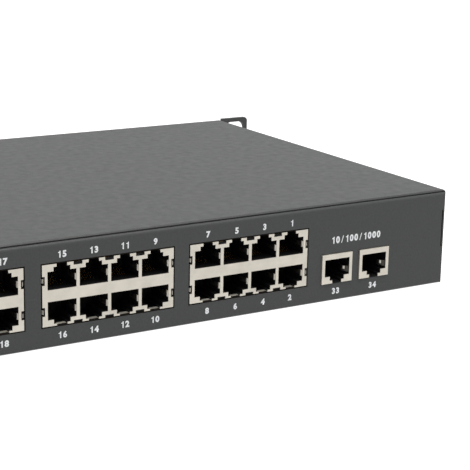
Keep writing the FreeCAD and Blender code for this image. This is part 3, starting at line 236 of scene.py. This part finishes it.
FINISHES = {
    "powder_coat": powder_coat(),
    "bezel_plastic": bezel_plastic(),
    "tin_plate": tin_plate(),
    "socket_plastic": moulded("socket_plastic", (14, 14, 15), 0.6, shine=0.12),
    "gold_plate": plated("gold_plate", (176, 140, 76), 0.35),
    "screw_steel": plated("screw_steel", (70, 70, 72), 0.4),
    "bright_screw": plated("bright_screw", (190, 190, 188), 0.3),
    "board_green": circuit_board(),
    "chip_black": moulded("chip_black", (38, 38, 40), 0.55),
    "sink_aluminium": plated("sink_aluminium", (90, 92, 96), 0.45),
    "can_sleeve": moulded("can_sleeve", (36, 38, 60), 0.3),
    "crystal_can": plated("crystal_can", (205, 205, 200), 0.25),
    "transformer": taped_core(),
    "sheet_film": moulded("sheet_film", (190, 190, 184), 0.3),
    "glass_fuse": moulded("glass_fuse", (200, 206, 206), 0.15),
    "white_plastic": moulded("white_plastic", (214, 212, 204), 0.4),
    "inlet_plastic": moulded("inlet_plastic", (30, 30, 31), 0.32),
    "fan_plastic": moulded("fan_plastic", (34, 34, 35), 0.45),
    "lamp_clear": frosted_pipe(),
    "ribbon_grey": flat_ribbon(),
}


# Painted shade: a darker copy of the tin for the springs deep in the ports and inside the jacks, standing in for
# the shade there.
SHADED_SPRING_TIN = plated("spring_painted_shade", (74, 72, 68), 0.5)
# Painted shade: a near-black fill for the gaps round the port blocks, where the object has only shade.
SHADE_FILL = moulded("painted_shade_dark", (24, 20, 16), 0.9, 0.0008, 0.1)


def dress_frame():
    """Every carried-over node gets its slot's finish."""
    for name, thing in NODES.items():
        thing.data.materials.clear()
        thing.data.materials.append(FINISHES[SLOTS[name]])


# ---------------------------------------------------------------- mesh helpers

def piece(name, mesh, material, body="case"):
    """A finished mesh as a piece that rides on a body."""
    thing = bpy.data.objects.new(name, mesh)
    SCENE.collection.objects.link(thing)
    mesh.materials.clear()
    mesh.materials.append(material)
    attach(thing, body)
    return thing


def merged(name, meshes):
    """One mesh from several, which are removed."""
    whole = bmesh.new()
    for mesh in meshes:
        whole.from_mesh(mesh)
        bpy.data.meshes.remove(mesh)
    made = bpy.data.meshes.new(name)
    whole.to_mesh(made)
    whole.free()
    return made


def solids(node):
    """The lowest and highest corners of each separate solid of a node."""
    whole = bmesh.new()
    whole.from_mesh(NODES[node].data)
    bmesh.ops.remove_doubles(whole, verts=whole.verts, dist=0.001 * MM)
    left, boxes = set(whole.verts), []
    while left:
        edge, found = [left.pop()], []
        while edge:
            vert = edge.pop()
            found.append(vert.co.copy())
            near = {side.other_vert(vert) for side in vert.link_edges} & left
            left -= near
            edge.extend(near)
        boxes.append(tuple(Vector([pick(spot[i] for spot in found) for i in range(3)])
                           for pick in (min, max)))
    whole.free()
    return sorted(boxes, key=lambda box: tuple(round(part, 6) for part in box[0]))


# -------------------------------------------------------------- geometry nodes

class Tree:
    """A geometry node tree that takes places, named sizes and a material."""

    def __init__(self, name, sizes):
        self.group = bpy.data.node_groups.new(name, "GeometryNodeTree")
        sockets = self.group.interface
        sockets.new_socket("Places", in_out="INPUT", socket_type="NodeSocketGeometry")
        for size in sizes:
            sockets.new_socket(size, in_out="INPUT", socket_type="NodeSocketFloat")
        sockets.new_socket("Material", in_out="INPUT", socket_type="NodeSocketMaterial")
        sockets.new_socket("Pieces", in_out="OUTPUT", socket_type="NodeSocketGeometry")
        self.given = self.node("NodeGroupInput").outputs

    def node(self, kind, inputs=(), **values):
        """A node with its settings, its inputs filled by values or by other nodes' outputs."""
        made = self.group.nodes.new(kind)
        for key, value in values.items():
            setattr(made, key, value)
        for socket, source in dict(inputs).items():
            if isinstance(source, bpy.types.NodeSocket):
                self.group.links.new(source, made.inputs[socket])
            else:
                made.inputs[socket].default_value = source
        return made

    def sum_of(self, operation, *terms):
        return self.node("ShaderNodeMath", enumerate(terms), operation=operation).outputs[0]

    def vector(self, x, y, z):
        return self.node("ShaderNodeCombineXYZ", enumerate((x, y, z))).outputs[0]

    def joined(self, *shapes):
        made = self.node("GeometryNodeJoinGeometry")
        for shape in shapes:
            self.group.links.new(shape, made.inputs[0])
        return made.outputs[0]

    def end(self, shape, axis, pivot):
        """Stands the shape at every place, its axis along the place's aim, as real mesh with its material."""
        aim = self.node("GeometryNodeInputNamedAttribute", {"Name": "aim"}, data_type="FLOAT_VECTOR")
        turn = self.node("FunctionNodeAlignRotationToVector", {"Vector": aim.outputs["Attribute"]},
                         axis=axis, pivot_axis=pivot)
        stood = self.node("GeometryNodeInstanceOnPoints", {"Points": self.given["Places"], "Instance": shape,
                                                           "Rotation": turn.outputs[0]})
        real = self.node("GeometryNodeRealizeInstances", {"Geometry": stood.outputs[0]})
        coated = self.node("GeometryNodeSetMaterial", {"Geometry": real.outputs[0],
                                                       "Material": self.given["Material"]})
        self.node("NodeGroupOutput", {"Pieces": coated.outputs[0]})
        return self.group


HEAD_SIDES = 24
SHANK_SIDES = 16


def screw_tree():
    """Pan heads with a cross recess on plain shanks; a place is where a head seats."""
    tree = Tree("pan_head_screws",
                ("Head Radius", "Head Height", "Shank Radius", "Shank Length", "Recess Width"))
    radius, height = tree.given["Head Radius"], tree.given["Head Height"]
    blank = tree.node("GeometryNodeMeshCylinder", {
        "Vertices": HEAD_SIDES, "Side Segments": 2, "Fill Segments": 4,
        "Radius": radius, "Depth": height}, fill_type="TRIANGLE_FAN")
    position = tree.node("GeometryNodeInputPosition").outputs[0]
    spot = tree.node("ShaderNodeSeparateXYZ", {0: position}).outputs
    squares = [tree.sum_of("MULTIPLY", spot[i], spot[i]) for i in range(2)]
    share = tree.sum_of("DIVIDE", tree.sum_of("SQRT", tree.sum_of("ADD", *squares)), radius)
    drop = tree.sum_of("MULTIPLY", tree.sum_of("POWER", share, 3.0), tree.sum_of("MULTIPLY", height, -0.5))
    top = tree.sum_of("GREATER_THAN", spot[2], 0.00001)
    crowned = tree.node("GeometryNodeSetPosition", {"Geometry": blank.outputs["Mesh"], "Selection": top,
                                                    "Offset": tree.vector(0, 0, drop)})
    seated = tree.node("GeometryNodeTransform", {
        "Geometry": crowned.outputs[0],
        "Translation": tree.vector(0, 0, tree.sum_of("MULTIPLY", height, 0.5))})
    long, wide = tree.sum_of("MULTIPLY", radius, 1.25), tree.given["Recess Width"]
    cutters = []
    for size in ((long, wide, height), (wide, long, height)):
        bar = tree.node("GeometryNodeMeshCube", {"Size": tree.vector(*size)})
        cutters.append(tree.node("GeometryNodeTransform", {
            "Geometry": bar.outputs["Mesh"], "Translation": tree.vector(0, 0, height)}).outputs[0])
    cut = tree.node("GeometryNodeMeshBoolean", {"Mesh 1": seated.outputs[0]}, operation="DIFFERENCE")
    for cutter in cutters:
        tree.group.links.new(cutter, cut.inputs["Mesh 2"])
    length = tree.given["Shank Length"]
    shank = tree.node("GeometryNodeMeshCylinder", {
        "Vertices": SHANK_SIDES, "Radius": tree.given["Shank Radius"], "Depth": length})
    lowered = tree.node("GeometryNodeTransform", {
        "Geometry": shank.outputs["Mesh"],
        "Translation": tree.vector(0, 0, tree.sum_of("MULTIPLY", length, -0.5))})
    return tree.end(tree.joined(cut.outputs[0], lowered.outputs[0]), "Z", "AUTO")


def strip_tree():
    """Bowed spring strips; each runs into the case from its place and bulges along its aim."""
    tree = Tree("spring_strips", ("Length", "Width", "Bulge", "Thickness"))
    length = tree.given["Length"]
    flat = tree.node("GeometryNodeMeshGrid", {"Size X": length, "Size Y": tree.given["Width"],
                                              "Vertices X": 9, "Vertices Y": 2})
    position = tree.node("GeometryNodeInputPosition").outputs[0]
    spot = tree.node("ShaderNodeSeparateXYZ", {0: position}).outputs
    back = tree.sum_of("ADD", spot[0], tree.sum_of("MULTIPLY", length, 0.5))
    wave = tree.sum_of("SINE", tree.sum_of("MULTIPLY", tree.sum_of("DIVIDE", back, length), math.pi))
    bowed = tree.node("GeometryNodeSetPosition", {
        "Geometry": flat.outputs["Mesh"],
        "Position": tree.vector(tree.sum_of("MULTIPLY", wave, tree.given["Bulge"]),
                                tree.sum_of("MULTIPLY", back, -1.0), spot[1])})
    inner = tree.node("GeometryNodeExtrudeMesh", {"Mesh": bowed.outputs[0], "Individual": False,
                                                  "Offset Scale": tree.given["Thickness"]}, mode="FACES")
    outer = tree.node("GeometryNodeFlipFaces", {"Mesh": bowed.outputs[0]})
    whole = tree.node("GeometryNodeMergeByDistance", {
        "Geometry": tree.joined(inner.outputs["Mesh"], outer.outputs["Mesh"]), "Distance": 0.001 * MM})
    return tree.end(whole.outputs[0], "X", "Y")


def stand(name, group, places, sizes, material, body="case"):
    """Runs a tree over places, each a spot and an aim, and keeps the result as one plain mesh."""
    mesh = bpy.data.meshes.new(name)
    mesh.from_pydata([spot for spot, aim in places], [], [])
    aims = mesh.attributes.new("aim", "FLOAT_VECTOR", "POINT")
    aims.data.foreach_set("vector", [part for spot, aim in places for part in aim])
    maker = bpy.data.objects.new(name + "_places", mesh)
    SCENE.collection.objects.link(maker)
    modifier = maker.modifiers.new(name, "NODES")
    modifier.node_group = group
    given = dict(sizes, Material=material)
    for socket in group.interface.items_tree:
        if socket.in_out == "INPUT" and socket.name in given:
            modifier[socket.identifier] = given[socket.name]
    made = bpy.data.meshes.new_from_object(maker.evaluated_get(bpy.context.evaluated_depsgraph_get()))
    bpy.data.objects.remove(maker)
    return piece(name, made, material, body)


# ---------------------------------------------------------------------- screws

SCREW_SETS = ("cover_screws", "ear_screws", "fan_screws", "inlet_screws", "ground_screw", "board_screws")
HEAD_HEIGHT = 1.6 * MM
HEAD_RADIUS = 2.8 * MM
SHANK_RADIUS = 1.4 * MM
RECESS_WIDTH = 0.8 * MM


def screw_place(low, high):
    """Where a screw's head seats, the way it looks, and the shank's length."""
    reach = [high[i] - low[i] for i in range(3)]
    axis = max(range(3), key=lambda i: reach[i])
    middle = (low + high) / 2
    outward = -1 if axis == 0 and middle.x < 0 else 1
    aim = Vector([outward if i == axis else 0 for i in range(3)])
    seat = Vector(middle)
    seat[axis] = (high if outward > 0 else low)[axis] - outward * HEAD_HEIGHT
    return seat, aim, reach[axis] - HEAD_HEIGHT


def make_screws():
    """Recessed heads in place of the plain ones, one piece for each set."""
    group = screw_tree()
    for node in SCREW_SETS:
        places = [screw_place(low, high) for low, high in solids(node)]
        sizes = {"Head Radius": HEAD_RADIUS, "Head Height": HEAD_HEIGHT, "Shank Radius": SHANK_RADIUS,
                 "Shank Length": places[0][2], "Recess Width": RECESS_WIDTH}
        made = stand(node + "_crossed", group, [place[:2] for place in places], sizes,
                     FINISHES[SLOTS[node]])
        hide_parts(node)


# --------------------------------------------------------------------- springs

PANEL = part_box("base_tray")[1].y
BLOCK_NODES = ["port_shield_1_8", "port_shield_9_16", "port_shield_17_24", "port_shield_25_32"]
JACK_NODES = ["jack_shield_33", "jack_shield_34"]
BLOCK_BELOW = 12.5 * MM
PORT_PITCH = 13.97 * MM
PORT_HALF = 6.275 * MM
BLOCK_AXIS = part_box(BLOCK_NODES[0])[0].z + BLOCK_BELOW


# Where the springs stand: rows over and under a block's axis, and set-backs from the panel's face.
OUTER_ROWS = (-6.4 * MM, 6.4 * MM)
OUTER_INSET = 0.35 * MM
OUTER_BACK = 0.05 * MM
INNER_ROWS = (-6.5 * MM, 6.5 * MM)
INNER_BACK = 0.3 * MM
DEEP_BACK = 1.5 * MM
UPPER_SHIFT = 0.4 * MM
UPPER_BACK = 0.32 * MM
UPPER_ROW = 12.62 * MM
JACK_OUT = 0.2 * MM
JACK_DROP = 1.2 * MM
TIP_SHIFT = (1.1 * MM, -1.2 * MM, 0.5 * MM)


def strip_sizes(length, width, bulge, thickness):
    """The spring strip tree's sizes, given in millimetres."""
    return {"Length": length * MM, "Width": width * MM, "Bulge": bulge * MM, "Thickness": thickness * MM}


def block_middles():
    """The middle of each block of ports, along X."""
    return [(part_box(node)[0].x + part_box(node)[1].x) / 2 for node in BLOCK_NODES]


def make_springs():
    """The grounding strips of the shields: outside, between the ports, and inside every port."""
    group = strip_tree()
    outer, inner, upper, jacks = [], [], [], []
    y = PANEL
    low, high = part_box(BLOCK_NODES[0])
    half = (high.x - low.x) / 2
    for middle in block_middles():
        for side in (-1, 1):
            for row in OUTER_ROWS:
                spot = (middle + side * (half - OUTER_INSET), y - OUTER_BACK, BLOCK_AXIS + row)
                outer.append((spot, (side, 0, 0)))
        for column in range(4):
            x = middle + PORT_PITCH * (column - 1.5)
            for side in (-1, 1):
                for row in INNER_ROWS:
                    spot = (x + side * PORT_HALF, y - INNER_BACK, BLOCK_AXIS + row)
                    inner.append((spot, (-side, 0, 0)))
        for divider in (-1, 0, 1):
            spot = (middle + divider * PORT_PITCH + UPPER_SHIFT, y - UPPER_BACK, BLOCK_AXIS + UPPER_ROW)
            upper.append((spot, (0, 0, 1)))
    for node in JACK_NODES:
        low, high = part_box(node)
        spot = ((low.x + high.x) / 2 - PORT_HALF, y + JACK_OUT, (low.z + high.z) / 2 - JACK_DROP)
        jacks.append((spot, (1, 0, 0)))
    tips = [([part + shift for part, shift in zip(spot, TIP_SHIFT)], aim) for spot, aim in jacks]
    deeper = [((spot[0], spot[1] - DEEP_BACK, spot[2]), aim) for spot, aim in inner]
    tin, shade_bronze = FINISHES["tin_plate"], FINISHES["gold_plate"]
    for name, places, sizes, material, slot in (
            ("jack_spring_tips", tips, strip_sizes(1.6, 1.4, 0.6, 0.15), tin, "tin_plate"),
            ("shield_outer_springs", outer, strip_sizes(2.4, 1.7, 0.6, 0.2), tin, "tin_plate"),
            ("port_side_springs", inner, strip_sizes(1.4, 2.6, 0.4, 0.2), tin, "tin_plate"),
            # The deep and jack springs are tin painted darker as shade.
            ("port_deep_springs", deeper, strip_sizes(6.0, 2.0, 0.5, 0.2), SHADED_SPRING_TIN, "tin_plate"),
            # The upper springs take the gold plate's brown, which stands in for the tin fingers' look in shade:
            # painted shade.
            ("shield_upper_springs", upper, strip_sizes(3.0, 2.3, 0.4, 0.15), shade_bronze, "gold_plate"),
            ("jack_side_springs", jacks, strip_sizes(7.0, 2.6, 1.6, 0.25), SHADED_SPRING_TIN, "tin_plate")):
        stand(name, group, places, sizes, material)


# Painted shade: near-black strips set in the gap round each port block, where there is only shade.
SHADE_STRIP_GAP = 0.6 * MM
SHADE_STRIP_BACK, SHADE_STRIP_FRONT = -1.1 * MM, -0.25 * MM
NOTCH_NEAR, NOTCH_FAR = 4.5 * MM, 8.2 * MM


def make_gaskets():
    """Painted shade: a near-black strip in the gap between each block's shield and the panel, where there is only
    shade, broken at the side springs.
    """
    whole = bmesh.new()
    for middle, node in zip(block_middles(), BLOCK_NODES):
        low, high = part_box(node)
        above, below = high.z + SHADE_STRIP_GAP, low.z - SHADE_STRIP_GAP
        half = (high.x - low.x) / 2
        bars = [(low.x - SHADE_STRIP_GAP, high.x + SHADE_STRIP_GAP, high.z, above),
                (low.x - SHADE_STRIP_GAP, high.x + SHADE_STRIP_GAP, below, low.z)]
        for side in (-1, 1):
            left, right = sorted((middle + side * half, middle + side * (half + SHADE_STRIP_GAP)))
            for start, end in ((low.z, BLOCK_AXIS - NOTCH_FAR),
                               (BLOCK_AXIS - NOTCH_NEAR, BLOCK_AXIS + NOTCH_NEAR),
                               (BLOCK_AXIS + NOTCH_FAR, high.z)):
                bars.append((left, right, start, end))
        for left, right, bottom, top in bars:
            front = [whole.verts.new((x, PANEL + SHADE_STRIP_BACK, z))
                     for x, z in ((left, bottom), (right, bottom), (right, top), (left, top))]
            face = whole.faces.new(front)
            grown = bmesh.ops.extrude_face_region(whole, geom=[face])["geom"]
            raised = [part for part in grown if isinstance(part, bmesh.types.BMVert)]
            bmesh.ops.translate(whole, verts=raised, vec=(0, SHADE_STRIP_FRONT - SHADE_STRIP_BACK, 0))
    bmesh.ops.recalc_face_normals(whole, faces=whole.faces)
    mesh = bpy.data.meshes.new("block_shade_strips")
    whole.to_mesh(mesh)
    whole.free()
    piece("block_shade_strips", mesh, SHADE_FILL)


# ------------------------------------------------------------------ lettering

PRINT_LIFT = 0.02 * MM
REAR_FACING = Matrix(((-1, 0, 0, 0), (0, 0, 1, 0), (0, 1, 0, 0), (0, 0, 0, 1)))
FRONT_FACING = Matrix(((1, 0, 0, 0), (0, 0, -1, 0), (0, 1, 0, 0), (0, 0, 0, 1)))
BOLD = 0.05
ADVANCE = 0.8
DRAWN = {
    "1": [(0.3, 0), (0.5, 0), (0.5, 1), (0.35, 1), (0.31, 0.89), (0.24, 0.83), (0.1, 0.81),
          (0.1, 0.68), (0.3, 0.68)],
    "/": [(0.0, -0.02), (0.14, -0.02), (0.46, 1.02), (0.32, 1.02)],
}


def glyph(letter):
    """One printed character, one unit tall and standing on the origin's line."""
    if letter in DRAWN:
        mesh = bpy.data.meshes.new("glyph")
        mesh.from_pydata([(u, v, 0) for u, v in DRAWN[letter]], [], [range(len(DRAWN[letter]))])
    else:
        curve = bpy.data.curves.new("glyph", "FONT")
        curve.body = letter
        curve.offset = BOLD
        curve.resolution_u = 3
        thing = bpy.data.objects.new("glyph", curve)
        mesh = bpy.data.meshes.new_from_object(thing)
        bpy.data.objects.remove(thing)
        bpy.data.curves.remove(curve)
    low, high = ([pick(v.co[i] for v in mesh.vertices) for i in range(2)] for pick in (min, max))
    tall = high[1] - low[1]
    mesh.transform(Matrix.Scale(1 / tall, 4) @ Matrix.Translation((-(low[0] + high[0]) / 2, -low[1], 0)))
    return mesh


def lettering(text, tall, spot, turn, wide=1.0):
    """Printed characters tall metres high, evenly spaced and centred on a spot of a face."""
    meshes = []
    for i, letter in enumerate(text):
        across = (i - (len(text) - 1) / 2) * ADVANCE
        mesh = glyph(letter)
        sized = Matrix.Diagonal((tall * wide, tall, tall, 1)) @ Matrix.Translation((across, -0.5, 0))
        mesh.transform(Matrix.Translation(spot) @ turn @ sized)
        meshes.append(mesh)
    return merged("print", meshes)


DIGIT_TALL = 2.8 * MM
UPPER_PRINT = 16.6 * MM
LOWER_PRINT = -16.65 * MM
JACK_PRINT_DROP = 0.4 * MM
SPEED_TALL = 3.2 * MM
SPEED_LIFT = 6.3 * MM
SPEED_WIDE = 0.97
LAMP_DIGIT_TALL = 1.9 * MM
LAMP_PRINT_LIFT = 3.4 * MM


def print_port_numbers():
    """White numbers over and under the ports, odd above and even below."""
    meshes = []
    y = PANEL + PRINT_LIFT
    for block, middle in enumerate(block_middles()):
        for column in range(4):
            x = middle + PORT_PITCH * (column - 1.5)
            first = 8 * block + 2 * column + 1
            for number, z in ((first, UPPER_PRINT), (first + 1, LOWER_PRINT)):
                spot = (x, y, BLOCK_AXIS + z)
                meshes.append(lettering(str(number), DIGIT_TALL, spot, REAR_FACING))
    for node in JACK_NODES:
        low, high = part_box(node)
        spot = ((low.x + high.x) / 2, y, BLOCK_AXIS + LOWER_PRINT - JACK_PRINT_DROP)
        meshes.append(lettering(node[-2:], DIGIT_TALL, spot, REAR_FACING))
    piece("port_numbers", merged("port_numbers", meshes), PRINT)


def print_speeds():
    """The speeds of the two single jacks, as plain numbers over them."""
    first, second = (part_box(node) for node in JACK_NODES)
    x = (first[0].x + first[1].x + second[0].x + second[1].x) / 4
    spot = (x, PANEL + PRINT_LIFT, BLOCK_AXIS + SPEED_LIFT)
    piece("speed_numbers", lettering("10/100/1000", SPEED_TALL, spot, REAR_FACING, SPEED_WIDE), PRINT)


def print_lamp_numbers():
    """A port's number beside its lamp on the front, odd over the upper row and even under the lower."""
    meshes = []
    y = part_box("front_panel")[0].y - PRINT_LIFT
    pipes = sorted(solids("light_pipes"), key=lambda box: (round(box[0].x, 4), -box[0].z))[1:]
    for i, (low, high) in enumerate(pipes):
        lift = LAMP_PRINT_LIFT if i % 2 == 0 else -LAMP_PRINT_LIFT
        spot = ((low.x + high.x) / 2, y, (low.z + high.z) / 2 + lift)
        meshes.append(lettering(str(i + 1), LAMP_DIGIT_TALL, spot, FRONT_FACING))
    piece("lamp_numbers", merged("lamp_numbers", meshes), PRINT)


ROCKER_REST = math.radians(8)
ROCKER_SLOPE = math.atan(1.2 / 7.1)
RING_INNER, RING_OUTER = 1.15 * MM, 1.6 * MM
RING_SIDES = 32
BAR_HALF_WIDE, BAR_HALF_TALL = 0.25 * MM, 1.6 * MM
MARK_OUT = 5.8 * MM
MARK_RISE = 3.55 * MM


def mark_rocker():
    """The rocker's printed marks: a bar on its upper half and a ring on its lower half."""
    joint = next(joint for joint in frame["joints"] if joint["name"] == "rocker_tilt")
    ring = bmesh.new()
    rims = [[ring.verts.new((r * math.cos(a), r * math.sin(a), 0)) for r in (RING_INNER, RING_OUTER)]
            for a in (math.tau * i / RING_SIDES for i in range(RING_SIDES))]
    for i, (near, far) in enumerate(rims):
        after = rims[(i + 1) % RING_SIDES]
        ring.faces.new((near, far, after[1], after[0]))
    bar = bmesh.new()
    corners = ((-1, -1), (1, -1), (1, 1), (-1, 1))
    bar.faces.new([bar.verts.new((u * BAR_HALF_WIDE, v * BAR_HALF_TALL, 0)) for u, v in corners])
    meshes = []
    for shape, side in ((bar, 1), (ring, -1)):
        mesh = bpy.data.meshes.new("mark")
        shape.to_mesh(mesh)
        shape.free()
        middle = Matrix.Translation((0, MARK_OUT + PRINT_LIFT, side * MARK_RISE))
        face = Matrix.Rotation(ROCKER_REST, 4, "X") @ middle
        tilt = Matrix.Rotation(side * ROCKER_SLOPE, 4, "X")
        mesh.transform(Matrix.Translation(joint["pos_m"]) @ face @ tilt @ REAR_FACING)
        meshes.append(mesh)
    piece("rocker_marks", merged("rocker_marks", meshes), PRINT, "rocker")


def print_ink():
    finish = Finish("print_ink", PRINT_WHITE, 0.5)
    finish.vary_colour(finish.noise(0.0008, 3.0), 0.9, 1.05)
    return finish.material


PRINT = print_ink()

# ---------------------------------------------------------------------- stage

FLOOR_REACH = 6.0
FLOOR_GREY = (0.55, 0.55, 0.55, 1)
FLOOR_GLOW = 0.8
BACKDROP_WHITE = 1.0
WORLD_LEVEL = 0.33
LENS = 113.04
SENSOR_WIDTH = 36
CAMERA_SPOT = (0.21158, 0.6087, 0.19188)
CAMERA_RIGHT = Vector((-0.84964, 0.52693, 0.02136))
CAMERA_FORWARD = Vector((-0.51477, -0.81988, -0.25062))


def area_lamp(name, spot, aim, size, watts, tint=(1.0, 1.0, 1.0)):
    lamp = bpy.data.lights.new(name, "AREA")
    lamp.shape = "RECTANGLE"
    lamp.size, lamp.size_y = size
    lamp.energy = watts
    lamp.color = tint
    thing = bpy.data.objects.new(name, lamp)
    thing.location = spot
    thing.rotation_euler = (Vector(aim) - Vector(spot)).to_track_quat("-Z", "Y").to_euler()
    SCENE.collection.objects.link(thing)


def seen_white(tree, strength):
    """Strength for camera, glossy and transmission rays, and none for the light that falls on things."""
    path = tree.nodes.new("ShaderNodeLightPath")
    total = None
    for ray in ("Is Camera Ray", "Is Glossy Ray", "Is Transmission Ray"):
        if total is None:
            total = path.outputs[ray]
            continue
        add = tree.nodes.new("ShaderNodeMath")
        add.operation = "MAXIMUM"
        tree.links.new(total, add.inputs[0])
        tree.links.new(path.outputs[ray], add.inputs[1])
        total = add.outputs[0]
    scaled = tree.nodes.new("ShaderNodeMath")
    scaled.operation = "MULTIPLY"
    scaled.inputs[1].default_value = strength
    tree.links.new(total, scaled.inputs[0])
    return scaled.outputs[0]


def make_floor():
    """A wide pale floor, which glows white for what is seen; the glow hides the object's shadow."""
    mesh = bpy.data.meshes.new("floor")
    reach = FLOOR_REACH
    corners = [(-reach, -reach, 0), (reach, -reach, 0), (reach, reach, 0), (-reach, reach, 0)]
    mesh.from_pydata(corners, [], [(0, 1, 2, 3)])
    floor = bpy.data.objects.new("floor", mesh)
    SCENE.collection.objects.link(floor)
    material = bpy.data.materials.new("floor_white")
    material.use_nodes = True
    tree = material.node_tree
    shader = tree.nodes["Principled BSDF"]
    shader.inputs["Base Color"].default_value = FLOOR_GREY
    shader.inputs["Roughness"].default_value = 0.9
    shader.inputs["Specular IOR Level"].default_value = 0.1
    glow = tree.nodes.new("ShaderNodeEmission")
    tree.links.new(seen_white(tree, FLOOR_GLOW), glow.inputs["Strength"])
    add = tree.nodes.new("ShaderNodeAddShader")
    tree.links.new(shader.outputs[0], add.inputs[0])
    tree.links.new(glow.outputs[0], add.inputs[1])
    tree.links.new(add.outputs[0], tree.nodes["Material Output"].inputs["Surface"])
    mesh.materials.append(material)


def make_world():
    """White where it is seen, and an even, lower level where it lights the object."""
    world = bpy.data.worlds.new("studio")
    world.use_nodes = True
    tree = world.node_tree
    back = tree.nodes["Background"]
    back.inputs["Color"].default_value = (1, 1, 1, 1)
    base = tree.nodes.new("ShaderNodeMath")
    base.operation = "MAXIMUM"
    base.inputs[1].default_value = WORLD_LEVEL
    tree.links.new(seen_white(tree, BACKDROP_WHITE), base.inputs[0])
    tree.links.new(base.outputs[0], back.inputs["Strength"])
    SCENE.world = world


def make_camera():
    """A long lens behind the right rear corner, looking down along the sockets."""
    data = bpy.data.cameras.new("camera")
    data.sensor_width = SENSOR_WIDTH
    data.lens = LENS
    data.clip_start, data.clip_end = 0.01, 20
    camera = bpy.data.objects.new("camera", data)
    up = CAMERA_RIGHT.cross(CAMERA_FORWARD)
    turn = Matrix((CAMERA_RIGHT, up, -CAMERA_FORWARD)).transposed().to_4x4()
    camera.matrix_world = Matrix.Translation(CAMERA_SPOT) @ turn
    SCENE.collection.objects.link(camera)
    SCENE.camera = camera


SCENE.view_settings.view_transform = "Standard"
dress_frame()
make_screws()
make_springs()
make_gaskets()
print_port_numbers()
print_speeds()
print_lamp_numbers()
mark_rocker()
make_floor()
make_world()
area_lamp("overhead", spot=(-0.1, 0.5, 1.42), aim=(0, 0, 0), size=(1.5, 0.7), watts=24,
          tint=(1.0, 0.985, 0.95))
area_lamp("fill", spot=(-0.6, 1.5, 0.6), aim=(0, 0, 0), size=(1.4, 0.8), watts=2.2)
make_camera()
